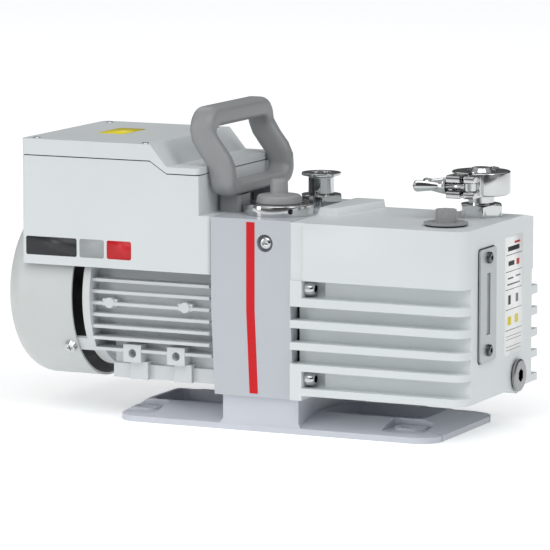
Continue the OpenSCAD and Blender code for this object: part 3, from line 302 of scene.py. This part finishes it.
def printed(name, across, up, *patches):
    """A printed film: white stock, with rectangles of ink laid over it. Each patch is (low and
    high along the piece's axis called across, low and high along up, colour), in millimetres."""
    made, tree, place = new_material(name)
    parts = add(tree, "ShaderNodeSeparateXYZ", {"Vector": place}).outputs
    ink = srgb("#F1F2F1")
    for low, high, bottom, top, colour in patches:
        tests = [
            add(tree, "ShaderNodeMath", {0: parts[axis], 1: limit * mm}, operation=way).outputs[0]
            for axis, limits in ((across, (low, high)), (up, (bottom, top)))
            for limit, way in zip(limits, ("GREATER_THAN", "LESS_THAN"))
        ]
        inside = tests[0]
        for test in tests[1:]:
            inside = add(tree, "ShaderNodeMath", {0: inside, 1: test}, operation="MULTIPLY").outputs[0]
        laid = {"Fac": inside, "Color1": ink, "Color2": srgb(colour)}
        ink = add(tree, "ShaderNodeMixRGB", laid).outputs["Color"]
    stock = {"Vector": place, "Scale": 1 / (0.8 * mm), "Detail": 2.0}
    fibre = add(tree, "ShaderNodeTexNoise", stock).outputs["Fac"]
    dents = {"Height": fibre, "Distance": 0.004 * mm, "Strength": 0.4}
    normal = add(tree, "ShaderNodeBump", dents).outputs["Normal"]
    skin = {"Base Color": ink, "Roughness": 0.35, "IOR": 1.45, "Normal": normal}
    shader = add(tree, "ShaderNodeBsdfPrincipled", skin)
    add(tree, "ShaderNodeOutputMaterial", {"Surface": shader.outputs["BSDF"]})
    return made


def film(name, finish, corners, radii, face, axis, thick=0.14):
    """A thin film with rounded corners, stuck on a face that lies across the axis."""
    piece = slab(name, filleted(corners, radii), face, face + thick, axis=axis)
    piece.data.materials.append(finish)
    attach(piece, "pump")


coat(black_plastic, "power_inlet", "power_rocker")
white_can = moulded("white_capacitor_can", "#E3E4E2", rough=0.3)
coat(white_can, "run_capacitor")

all_over = (-500, 500, -500, 500)
band_low, band_high = 124, 138
bands = (
    ("dark", "charcoal_ink", "#2B2D2F", -205, -162),
    ("grey", "grey_ink", "#9FA3A6", -159.5, -139),
    ("red", "red_ink", "#C4161E", -136.5, -116),
)
box_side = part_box("ebox_housing")[0].y / mm
for tag, ink_name, colour, start, end in bands:
    stripe = [(start, band_low), (end, band_low), (end, band_high), (start, band_high)]
    ink = printed(ink_name, 0, 2, (*all_over, colour))
    film("side_band_" + tag, ink, stripe, [1.5] * 4, box_side, "Y", thick=-0.14)
yellow_film = printed("yellow_film", 0, 1, (*all_over, "#E3D21E"))
lid_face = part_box("ebox_lid")[1].z / mm
sticker = [(-173, -14), (-150, -14), (-150, 26), (-173, 26)]
film("lid_sticker", yellow_film, sticker, [3] * 4, lid_face, "Z")

# ---- Handle ----
# A closed loop of grey glass-filled nylon on two spacer blocks. It leans back over the box
# between an upright foot and an upright grip, and its legs are rounded for the hand.
foot_x, half_width = -47.8, 9.5
lean_from, lean_rise, lean_back = 190, 34, 17


def handle_lean(z):
    """The handle's centre line and half width at a height, in millimetres. The line leans back by
    a smooth step between its upright foot and grip, and the width grows with its slope."""
    t = np.clip((z - lean_from) / lean_rise, 0, 1)
    slope = lean_back / lean_rise * 6 * t * (1 - t)
    return foot_x - lean_back * t * t * (3 - 2 * t), half_width * np.hypot(1, slope)


def handle_loop():
    """The loop runs between an outer and an inner rounded rectangle. Its section is a rounded
    rectangle too, stretched between the two outlines and across the handle's width."""
    outer = filleted([(-57, 174), (57, 174), (57, 240), (-57, 240)], [12, 12, 16, 16], 12)
    inner = filleted([(-46, 183.5), (46, 183.5), (46, 224.5), (-46, 224.5)], [7, 7, 8, 8], 12)
    points = len(outer)
    fine = np.linspace(0, points, 4 * points, endpoint=False)
    along = []
    for line in (outer, inner):
        closed = np.vstack([line, line[:1]])
        along.append(np.stack([np.interp(fine, range(points + 1), closed[:, k]) for k in (0, 1)], axis=1))
    outer, inner = along
    section = filleted([(-1, -1), (1, -1), (1, 1), (-1, 1)], [0.62] * 4, 8)
    mid, arm = (outer + inner) / 2, (outer - inner) / 2
    flat = mid[:, None] + arm[:, None] * section[None, :, :1]
    line, half = handle_lean(flat[..., 1])
    x = line + half * section[None, :, 1]
    return np.stack([x, flat[..., 0], flat[..., 1]], axis=2) * mm


handle_nylon = moulded("grey_nylon", "#8E9091", grain=0.9 * mm, rough=0.42)
fit(surface("handle_loop", handle_loop(), wrap_u=True, wrap_v=True), handle_nylon, "handle")
fit(rolled_edges("handle_blocks", 1.0 * mm), handle_nylon, "handle_blocks")

# ---- Motor ----
# A finned die casting painted grey, with its end bell, and inside it the wound core, the rotor
# and the shaft. The fan at the back blows along the fins from under a pressed sheet cowl.


def bare_metal(name, colour, rough, lines=0.0, spread=0.04, metallic=1.0):
    """Turned, drawn or polished metal: lines is the size of its tool marks, which are drawn coarse
    enough to break up a reflection, and spread is how far its polish varies."""
    made, tree, place = new_material(name)
    base = np.array(srgb(colour))[:3]
    broad = {"Vector": place, "Scale": 1 / (12 * mm), "Detail": 3.0}
    cloud = add(tree, "ShaderNodeTexNoise", broad).outputs["Fac"]
    shades = {"Fac": cloud, "Color1": (*base * 0.94, 1), "Color2": (*base * 1.04, 1)}
    tint = add(tree, "ShaderNodeMixRGB", shades).outputs["Color"]
    sheen = {"Value": cloud, "To Min": max(rough - spread, 0.03), "To Max": rough + spread}
    gloss = add(tree, "ShaderNodeMapRange", sheen).outputs["Result"]
    skin = {"Base Color": tint, "Roughness": gloss, "Metallic": metallic}
    if lines:
        drawn_out = {"Vector": place, "Scale": (0.02 / lines, 0.02 / lines, 1 / lines)}
        marks_at = add(tree, "ShaderNodeMapping", drawn_out).outputs["Vector"]
        marks = {"Vector": marks_at, "Scale": 1.0, "Detail": 2.0}
        marks = add(tree, "ShaderNodeTexNoise", marks).outputs["Fac"]
        dents = {"Height": marks, "Distance": 0.01 * mm, "Strength": 0.4}
        skin["Normal"] = add(tree, "ShaderNodeBump", dents).outputs["Normal"]
    shader = add(tree, "ShaderNodeBsdfPrincipled", skin)
    add(tree, "ShaderNodeOutputMaterial", {"Surface": shader.outputs["BSDF"]})
    return made


motor_paint = powder_coat("painted_sand_texture", "#CBCFD1", peel=1.8 * mm, relief=0.05 * mm, rough=0.5)
fit(rolled_edges("motor_frame", 0.5 * mm, steps=2), motor_paint, "motor_frame")
fit(rolled_edges("rear_endbell", 0.8 * mm, steps=2), motor_paint, "rear_endbell")
cowl_paint = powder_coat("pale_cowl_powder_coat", "#C2C6C5", rough=0.4)
fit(rolled_edges("fan_cowl", 0.4 * mm, steps=2), cowl_paint, "fan_cowl")
fan_nylon = moulded("black_fan_nylon", "#2E3032", rough=0.45)
coat(fan_nylon, "fan")
bright_steel = bare_metal("ground_bearing_steel", "#C4C6C7", 0.25, lines=0.4 * mm)
coat(bright_steel, "motor_shaft", "motor_bearings", "pump_rotor")
coat(bright_steel, "vane_springs", "exhaust_valves", "pump_bolts")
core_steel = bare_metal("stacked_core_steel", "#8A8D90", 0.45, lines=0.8 * mm)
coat(core_steel, "stator_core", "motor_rotor")
copper = bare_metal("enamelled_copper", "#B5652B", 0.35, lines=0.9 * mm)
coat(copper, "stator_windings")

# ---- Coupling and pumping stages ----
# Two die-cast hubs drive through a polyurethane spider. Ground grey-iron plates and rings stack
# up on four long bolts to make the two stages, and fibre vanes slide in the steel rotor.
die_cast = bare_metal("die_cast_alloy", "#A9ACAF", 0.4, lines=0.7 * mm)
coat(die_cast, "motor_hub", "pump_hub")
urethane = moulded("red_polyurethane", "#C8452E", rough=0.45)
coat(urethane, "coupling_spider")
coat(black_rubber, "shaft_seal", "gaskets", "filler_seal", "drain_seal")
grey_iron = bare_metal("ground_grey_iron", "#8F9294", 0.42, lines=0.5 * mm)
coat(grey_iron, "inner_plate", "hv_stator", "mid_plate", "lv_stator", "outer_plate")
vane_fibre = moulded("brown_fibre_composite", "#4A3B2A", grain=0.5 * mm, rough=0.55)
coat(vane_fibre, "hv_vane_a", "hv_vane_b", "lv_vane_a", "lv_vane_b")

# ---- Ports and gas ballast ----
# Stainless fittings turned from bar and polished, screwed down on their hexagons. The moulded
# knob of the gas ballast turns in a broad steel ring that a pin spanner tightens.


def turned(name, profile, centre, axis="Z", span=(0, 360), sides=96, corner=0):
    """A profile carried round an axis. Each of its rows is (radius, height) or (radius, height,
    flat): a row with a flat is a hexagon that far from its centre to its sides, with a corner at
    the corner angle, cut back to the radius as a lathe cuts its chamfer. Millimetres in. A whole
    turn closes on itself, and a part turn takes a flat face at each end."""
    whole = span[1] - span[0] >= 360
    angle = np.radians(corner + np.linspace(span[0], span[1], sides, endpoint=not whole))[:, None]
    rows = np.asarray([(*row, 0) if len(row) == 2 else row for row in profile], float)
    radius, height, flat = rows.T[:, None]
    side = flat / np.cos((angle - math.radians(corner)) % (math.pi / 3) - math.pi / 6)
    reach = np.where(flat > 0, np.minimum(side, radius), radius)
    across, up = reach * np.cos(angle), reach * np.sin(angle)
    along = np.broadcast_to(height, reach.shape)
    order = {"Z": (across, up, along), "X": (along, across, up), "Y": (up, along, across)}[axis]
    closed = np.allclose(rows[0, :2], rows[-1, :2])
    grid = np.stack(order, axis=2)[:, : -1 if closed else None] + np.asarray(centre) / mm
    return surface(name, grid * mm, wrap_u=whole, wrap_v=closed, ends=not whole)


def joined(name, *pieces):
    """One piece made of several closed surfaces."""
    work = bmesh.new()
    for piece in pieces:
        work.from_mesh(piece.data)
        bpy.data.objects.remove(piece)
    mesh = bpy.data.meshes.new(name)
    work.to_mesh(mesh)
    work.free()
    mesh.shade_smooth()
    mesh.set_sharp_from_angle(angle=math.radians(34))
    made = bpy.data.objects.new(name, mesh)
    bpy.context.scene.collection.objects.link(made)
    return made


def middle(node):
    """The middle of a CAD node's box, with the height of its lowest point."""
    low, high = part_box(node)
    return np.array([(low.x + high.x) / 2, (low.y + high.y) / 2, low.z])


polished = bare_metal("polished_stainless", "#C9CBCB", 0.1, lines=0.6 * mm)


def flange_port(name, node, base, height):
    """A small-flange port: a tube with a 15 degree sloped flange over a chamfered hexagon. Its
    base is the height it stands on, and its height is up to the sealing face."""
    bore, tube, rim, recess = 8, 9.85, 15, 8.6
    rim_foot, slope_foot, recess_foot = height - 2, height - 3.38, height - 2.6
    foot = middle(node)
    foot[2] = base
    wall = [(bore, 0), (tube, 0), (tube, slope_foot), (rim, rim_foot), (rim, height), (recess, height)]
    wall += [(recess, recess_foot), (bore, recess_foot)]
    wall = filleted(wall, [0, 0, 0.8, 0.3, 0.3, 0.25, 0.1, 0.1], 5)
    wall = turned(name + "_tube", [*wall, wall[0]], foot)
    flat, corner = 14.95, 17.2
    chamfer = [(corner - 2.2 * t, 8.1 + 1.3 * t, flat) for t in np.linspace(0, 1, 7)]
    nut = [(9.6, 0), (16.2, 0, flat), (corner, 0.5, flat), *chamfer, (9.6, 9.4), (9.6, 0)]
    nut = turned(name + "_nut", nut, foot, sides=144, corner=-3)
    return joined(name, wall, nut)


housing_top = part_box("coupling_housing")[1].z
inlet_top, outlet_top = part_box("inlet_port")[1].z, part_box("outlet_port")[1].z
case_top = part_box("filler_seal")[0].z - 0.3 * mm
inlet_height, outlet_height = (inlet_top - housing_top) / mm, (outlet_top - case_top) / mm
fit(flange_port("inlet_fitting", "inlet_port", housing_top, inlet_height), polished, "inlet_port")
fit(flange_port("outlet_fitting", "outlet_port", case_top, outlet_height), polished, "outlet_port")

outlet = middle("outlet_port")
sealing = outlet_top + 3.6 * mm
blank = [(0, 9.4), (6.8, 9.6), (9.4, 5.6), (9.85, 3.4), (15, 2), (15, 0), (0, 0)]
blank = filleted(blank, [0, 1.2, 1.2, 0.8, 0.3, 0.2, 0], 6)
fit(turned("outlet_blank", blank, (outlet[0], outlet[1], sealing)), polished, "blank_flange")
coat(polished, "centring_ring")

ballast = middle("ballast_ring")
ballast[2] = housing_top
ring_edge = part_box("ballast_ring")[1].x / mm - ballast[0] / mm
ring = [(3.1, 0), (ring_edge, 0), (ring_edge, 8.3), (19, 8.3), (19, 6.9), (3.1, 6.9)]
ring = filleted(ring, [0, 0.3, 0.8, 0.3, 0.1, 0], 6)
ballast_body = turned("ballast_body", [*ring, ring[0]], ballast, sides=128)
# Near-black painted shade, standing in for the dark inside holes and deep gaps.
painted_shade_black = moulded("painted_shade_gap", "#050505", rough=0.9)
# Each spanner hole is a near-black disc laid on the ring's rim: painted shade for the dark inside the hole.
for turn in (-47, 133):
    a = math.radians(turn)
    outward = np.array([math.cos(a), math.sin(a), 0])
    sideways = np.array([-math.sin(a), math.cos(a), 0])
    tip = ballast + mm * ((ring_edge + 0.06) * outward + (0, 0, 4.3))
    circle = np.linspace(0, 2 * math.pi, 24, endpoint=False)[None, :, None]
    edge = np.cos(circle) * sideways + np.sin(circle) * np.array([0, 0, 1])
    depth = np.array([0.0, 0.02, 0.02])[:, None, None] * mm
    reach = np.array([2.05, 2.0, 0.0])[:, None, None] * mm
    hole = surface("spanner_hole_shade_%d" % (turn > 0), tip + outward * depth + reach * edge)
    hole.data.materials.append(painted_shade_black)
    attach(hole, "pump")
fit(ballast_body, polished, "ballast_ring")

knob_plastic = moulded("grey_knob_plastic", "#939495", rough=0.4)
knob = [(0, 26), (6.5, 26), (6.8, 14.9), (16.2, 14.3), (17.4, 8.6), (16.2, 7.6), (0, 7.6)]
knob = filleted(knob, [0, 1.5, 1.2, 2.2, 1.0, 0.4, 0], 7)
fit(turned("ballast_knob_cap", knob, ballast), knob_plastic, "ballast_knob")

# ---- Outlet clamp ----
# Two cast stainless jaws hinge at the back and close on the flange rims. An eye bolt swings in
# the forks at the front, and a winged nut draws them together over a washer.


def box_outline(x0, x1, y0, y1, radius, steps=5):
    """A rectangle with equal corner radii."""
    return filleted([(x0, y0), (x1, y0), (x1, y1), (x0, y1)], [radius] * 4, steps)


clamp_low, clamp_high = (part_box("clamp_right")[k].z / mm for k in (0, 1))
slot_mid = (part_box("swing_bolt")[0].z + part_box("swing_bolt")[1].z) / 2 / mm
axis_at = (outlet[0], outlet[1], 0.0)
ox, oy = outlet[0] / mm, outlet[1] / mm
wall, outer, deep = 11.8, 22, 15.3
groove = [(wall, clamp_low), (outer, clamp_low), (outer, clamp_high), (wall, clamp_high)]
groove += [(wall, slot_mid + 5.04), (deep, slot_mid + 4.1), (deep, slot_mid - 4.1), (wall, slot_mid - 5.04)]
groove = filleted(groove, [0.3, 1.8, 0.9, 0.3, 0.2, 0.2, 0.2, 0.2], 5)


def jaw(name, side):
    """Half of the clamp ring with its fork and its knuckles: side is 1 on the right of the split
    and -1 on the left, where the fork's outer face is an arc about the bolt's pin."""
    if side > 0:
        span, heights = (-85.8, 76), ((182, 188.6),)
        fork = box_outline(ox + 1.5, ox + 10, -15, -2.4, 0.7)
        web = box_outline(ox + 1.5, ox + 10, -3, 6, 0.6)
        strap = box_outline(ox, ox + 9.5, oy + 19.2, oy + 24.6, 0.5)
    else:
        span, heights = (104, 265.8), ((clamp_low, 181.8), (188.8, clamp_high))
        sweep = np.radians(np.linspace(201.5, 163, 9))[::-1]
        arc = np.stack([ox + 4.2 + 18 * np.cos(sweep), -8 + 18 * np.sin(sweep)], axis=1)
        fork = np.concatenate([[[ox - 1.5, -15.0]], [[ox - 1.5, -2.4]], arc])
        web = box_outline(ox - 12.5, ox - 1.5, -3, 6, 0.6)
        strap = box_outline(ox - 9.5, ox, oy + 19.2, oy + 24.6, 0.5)
    parts = [turned(name + "_ring", [*groove, groove[0]], axis_at, span=span, sides=72)]
    for low, high in ((clamp_low + 0.4, slot_mid - 3.4), (slot_mid + 3.4, clamp_high - 0.4)):
        parts.append(slab(name + "_ear", fork, low, high, roll=0.5))
    parts.append(slab(name + "_web", web, clamp_low + 0.5, clamp_high - 0.5, roll=0.4))
    for low, high in heights:
        tall, hinge = high - low, (outlet[0], outlet[1] + 24.5 * mm, low * mm)
        knuckle = [(0, 0), (4.0, 0), (4.4, 0.4), (4.4, tall - 0.4), (4.0, tall), (0, tall)]
        parts.append(turned(name + "_knuckle", knuckle, hinge, sides=40))
        parts.append(slab(name + "_strap", strap, low, high, roll=0.3))
    return joined(name, *parts)


fit(jaw("clamp_jaw_right", 1), polished, "clamp_right")
fit(jaw("clamp_jaw_left", -1), polished, "clamp_left")
coat(polished, "clamp_pins")

bolt_low, bolt_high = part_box("swing_bolt")
bolt_y, bolt_tip = (bolt_low.y + bolt_high.y) / 2, bolt_low.x / mm
crest, thread_depth, eye_radius = 2.6, 0.32, 4.6
pin_x = bolt_high.x / mm - eye_radius
shank_end = pin_x - bolt_tip - 3
turns = np.arange(0, 21, 0.5)
thread = np.stack([crest - thread_depth * (turns * 2 % 2), turns + 0.6], axis=1)
shank = np.concatenate([[(0, 0), (2.1, 0)], thread, [(crest, 22), (crest, shank_end), (0, shank_end)]])
rod = turned("bolt_rod", shank, (bolt_low.x, bolt_y, slot_mid * mm), axis="X", sides=32)
eye = [(2.05, -3.1), (4.2, -3.1), (eye_radius, -2.7), (eye_radius, 2.7), (4.2, 3.1), (2.05, 3.1)]
eye = turned("bolt_eye", [*eye, eye[0]], (pin_x * mm, bolt_y, slot_mid * mm), sides=48)
fit(joined("clamp_bolt", rod, eye), polished, "swing_bolt")
coat(polished, "clamp_washer")


def wing(name, side, base_x):
    """A cast wing: a flattened oval carried along a line that leaves the hub and sweeps back
    beside the bolt. It stands higher towards its tip, and closes there in a quarter round."""
    t = np.linspace(0, 1, 24)
    line = np.stack([base_x - 3.5 - 19 * t, side * (3.4 + 6.2 * t**0.9), np.zeros_like(t)], axis=1)
    close = np.sqrt(np.clip(1 - np.clip((t - 0.8) / 0.2, 0, 1) ** 2, 0, 1))
    thick = (2.1 - 0.64 * np.sin(math.pi * t)) * np.maximum(close, 0.02) ** 0.7
    tall = (2.9 + 1.9 * t) * close
    turn = np.linspace(0, 2 * math.pi, 28, endpoint=False)
    along = np.gradient(line, axis=0)
    across = np.stack([-along[:, 1], along[:, 0], np.zeros_like(t)], axis=1)
    across /= np.linalg.norm(across, axis=1, keepdims=True)
    grid = line[:, None] + across[:, None] * (thick[:, None] * np.cos(turn))[..., None]
    grid = grid + np.array([0, 0, 1.0]) * (tall[:, None] * np.sin(turn))[..., None]
    return surface(name, (grid + (0, bolt_y / mm, slot_mid)) * mm, wrap_v=True, ends=True)


nut_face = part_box("wing_nut")[1].x / mm
hub = filleted([(2.7, -11), (4.4, -11), (6.1, -1.2), (6.1, 0), (2.7, 0)], [0, 0.8, 1.0, 0.3, 0], 5)
hub = turned("nut_hub", [*hub, hub[0]], (nut_face * mm, bolt_y, slot_mid * mm), axis="X", sides=48)
wings = wing("near_wing", -1, nut_face), wing("far_wing", 1, nut_face)
fit(joined("wing_nut_casting", hub, *wings), polished, "wing_nut")

# ---- Oil case ----
# A thin-walled casting powder coated pale grey. Long cap screws in pockets between the fins pull
# it onto the housing. The sight glass, drain and rating plate are on its outer end, and the
# filler is on top.
shoulder = 158.5 * mm


def case_softening(middles):
    """The full roll on the case's top edges, and two fifths of it below the shoulder."""
    return np.where(middles[:, 2] > shoulder, 1.0, 0.4)


case_body = rolled_edges("oil_case", 3.0 * mm, 11 * mm, small=0.1, steps=4, soften=case_softening)
fit(case_body, shell_paint, "oil_case")


def dome_screw(name, centre, axis, outward, radius, height, key):
    """A button head with a hexagon socket, its foot at the centre: outward is the way it faces.
    Its dome is a quarter ellipse from the head's edge to the socket's mouth."""
    mouth, dome = key * 1.3, np.radians((20, 40, 60, 80, 90))
    across, up = mouth + (radius - mouth) * np.cos(dome), height * (0.35 + 0.65 * np.sin(dome))
    rows = [(0, 0, 0), (radius, 0, 0), (radius, height * 0.35, 0), *zip(across, up, 0 * dome)]
    rows += [(key * 1.2, height, 0), (key * 1.2, height - 0.15, key)]
    rows += [(key * 1.2, height * 0.35, key), (0, height * 0.3, 0)]
    return turned(name, np.array(rows) * (1, outward, 1), centre, axis=axis, sides=48)


head_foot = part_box("case_screws")[1].x - 8 * mm
head_y, head_heights = 63 * mm, (43 * mm, 110.5 * mm)
heads = [
    dome_screw("head", (head_foot, side * head_y, z), "X", 1, 5.6, 8, 2.6)
    for side in (-1, 1)
    for z in head_heights
]
heads.append(dome_screw("housing_head", (-5 * mm, -66 * mm, 143.2 * mm), "Y", -1, 5.3, 4.4, 1.9))
fit(joined("cap_screw_heads", *heads), polished, "case_screws")
coat(polished, "panel_screws")
blacked_steel = bare_metal("oil_blacked_steel", "#606466", 0.25)
coat(blacked_steel, "sight_screws")
frame_alloy = bare_metal("satin_anodised_alloy", "#B5B9BC", 0.35, metallic=0.7)
fit(rolled_edges("sight_frame", 0.5 * mm), frame_alloy, "sight_frame")
plug_steel = bare_metal("satin_plug_steel", "#9A9C9C", 0.3)
fit(rolled_edges("drain_plug", 0.4 * mm, small=0.8), plug_steel, "drain_plug")
fit(rolled_edges("filler_plug", 0.5 * mm, small=0.8), knob_plastic, "filler_plug")

end_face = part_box("sight_frame")[0].x / mm
window_low, window_high = np.array(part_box("sight_frame")) / mm
lip = 0.7
(_, y0, z0), (_, y1, z1) = window_low - lip, window_high + lip
seat = [(y0, z0), (y1, z0), (y1, z1), (y0, z1)]
film("sight_gasket", black_rubber, seat, [3.4] * 4, end_face - 0.05, "X", thick=0.5)

dark, grey, red, yellow = "#303234", "#55585A", "#C4161E", "#D8C81E"
rules = [(7, 39, z, z + 0.5, dark) for z in (133, 120.5, 107, 92, 76.5)]
rules += [(8, 38, z, z + 0.4, grey) for z in (72, 69.5, 64, 61.5)]
blocks = [(24, 35, 141, 142.6, red), (11, 34, 136, 139.5, dark)]
blocks += [(12, 24, 125, 128.5, dark), (28, 34, 124.5, 129, red)]
blocks += [(11, 22, 115, 116.2, grey), (27, 36, 115.6, 116.8, grey), (10, 35, 110.5, 111.6, grey)]
blocks += [(12, 17, 96, 103, dark), (27, 32, 96.5, 103, grey)]
blocks += [(11, 18, 80.5, 87, yellow), (25, 32, 81, 87.5, yellow)]
plate = printed("rating_plate_film", 1, 2, *rules, *blocks)
film("rating_plate", plate, [(5, 58), (41, 58), (41, 147), (5, 147)], [1.5] * 4, end_face, "X")

# Near-black strips at the housing ends of the middle grooves, on both sides, are painted shade for the deep
# gap between the case and the housing.
gap_y = 57.4
for side in (-1, 1):
    outline = box_outline(16.1, 18.5, side * gap_y - 0.9, side * gap_y + 0.9, 0.1)
    gap = slab("joint_gap_shade", outline, 54, 98)
    gap.data.materials.append(painted_shade_black)
    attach(gap, "pump")

glass, tree, place = new_material("sight_glass")
smear = add(tree, "ShaderNodeTexNoise", {"Vector": place, "Scale": 60.0}).outputs["Fac"]
wiped = {"Value": smear, "To Min": 0.03, "To Max": 0.12}
haze = add(tree, "ShaderNodeMapRange", wiped).outputs["Result"]
skin = {"Base Color": srgb("#A3ABB0"), "Roughness": haze, "IOR": 1.5, "Transmission Weight": 0.35}
pane = add(tree, "ShaderNodeBsdfPrincipled", skin)
add(tree, "ShaderNodeOutputMaterial", {"Surface": pane.outputs["BSDF"]})
coat(glass, "sight_glass")

# ---- Studio ----
# A wide white floor under one broad soft light from above the operator, with rectangular lamps at
# the left, the right and the rear. The floor carries painted light: a painted glow near the pump, and
# painted shade that darkens it a long way in front; the room is dim in places, so polished metal has dark
# to reflect.
bpy.context.scene.view_settings.view_transform = "Standard"
floor = np.array([[[-30, -30, 0], [30, -30, 0]], [[-30, 30, 0], [30, 30, 0]]], float)
floor = surface("studio_floor", floor)
paper, tree, place = new_material("white_paper_painted_glow_and_shade")
# The floor's colour is painted light: white with a painted glow near the pump, fading to painted shade, a
# dark grey, a long way in front.
forward = add(tree, "ShaderNodeSeparateXYZ", {"Vector": place}).outputs["Y"]
reach = {"Value": forward, "From Min": -2.1, "From Max": -0.8}
near = add(tree, "ShaderNodeMapRange", reach, interpolation_type="SMOOTHSTEP").outputs["Result"]
shades = {"Fac": near, "Color1": srgb("#45474A"), "Color2": srgb("#F4F5F5")}
floor_painted_shade = add(tree, "ShaderNodeMixRGB", shades).outputs["Color"]
floor_painted_glow = add(tree, "ShaderNodeMath", {0: near, 1: 0.33}, operation="MULTIPLY").outputs[0]
skin = {"Base Color": floor_painted_shade, "Roughness": 0.9, "Emission Color": srgb("#FFFFFF"), "Emission Strength": floor_painted_glow}
sheet = add(tree, "ShaderNodeBsdfPrincipled", skin)
add(tree, "ShaderNodeOutputMaterial", {"Surface": sheet.outputs["BSDF"]})
floor.data.materials.append(paper)

lamps = (
    ("left", (-2.3, -2.4, 0.55), (0.7, 1.6), 19),
    ("right", (2.2, -0.7, 2.3), (0.9, 2.0), 22),
    ("rear", (-1.9, 2.0, 2.6), (1.4, 1.4), 9),
)
for name, spot, size, power in lamps:
    lamp = bpy.data.objects.new(name, bpy.data.lights.new(name, "AREA"))
    bpy.context.scene.collection.objects.link(lamp)
    lamp.data.shape, lamp.data.energy = "RECTANGLE", power
    lamp.data.size, lamp.data.size_y = size
    lamp.location = spot
    aimed = Vector((0, 0, 0.12)) - Vector(spot)
    lamp.rotation_euler = aimed.to_track_quat("-Z", "Y").to_euler()
sun = bpy.data.objects.new("broad_soft_light", bpy.data.lights.new("broad_soft_light", "SUN"))
bpy.context.scene.collection.objects.link(sun)
sun.data.energy, sun.data.angle = 1.0, math.radians(50)
sun.rotation_euler = Vector((-0.12, 0.78, -0.95)).to_track_quat("-Z", "Y").to_euler()

# The room's brightness, as (place, level) stops round the compass and up from the horizon.
sky = bpy.data.worlds.new("studio")
sky.use_nodes = True
tree = sky.node_tree
toward = add(tree, "ShaderNodeTexCoord").outputs["Generated"]
height = add(tree, "ShaderNodeSeparateXYZ", {"Vector": toward}).outputs["Z"]
around = add(tree, "ShaderNodeTexGradient", {"Vector": toward}, gradient_type="RADIAL").outputs["Fac"]
wall_stops = [(0.0, 0.12), (1.0, 0.12), (0.1, 0.15), (0.14, 0.95), (0.24, 0.95), (0.27, 0.1)]
wall_stops += [(0.38, 0.1), (0.42, 0.45), (0.5, 0.45), (0.56, 0.1), (0.9, 0.12)]
rise_stops = [(0.0, 1.0), (1.0, 0.0), (0.35, 1.0), (0.6, 0.0)]
greys = []
for direction, stops in ((around, wall_stops), (height, rise_stops)):
    ramp = add(tree, "ShaderNodeValToRGB", {"Fac": direction})
    for i, (position, bright) in enumerate(stops):
        stop = ramp.color_ramp.elements[i] if i < 2 else ramp.color_ramp.elements.new(position)
        stop.position, stop.color = position, (bright, bright, bright * 1.02, 1)
    greys.append(ramp.outputs["Color"])
walls, rise = greys
mixed = {"Fac": rise, "Color1": (0.62, 0.63, 0.64, 1), "Color2": walls}
both = add(tree, "ShaderNodeMixRGB", mixed).outputs["Color"]
tree.links.new(both, tree.nodes["Background"].inputs["Color"])
tree.nodes["Background"].inputs["Strength"].default_value = 0.8
bpy.context.scene.world = sky
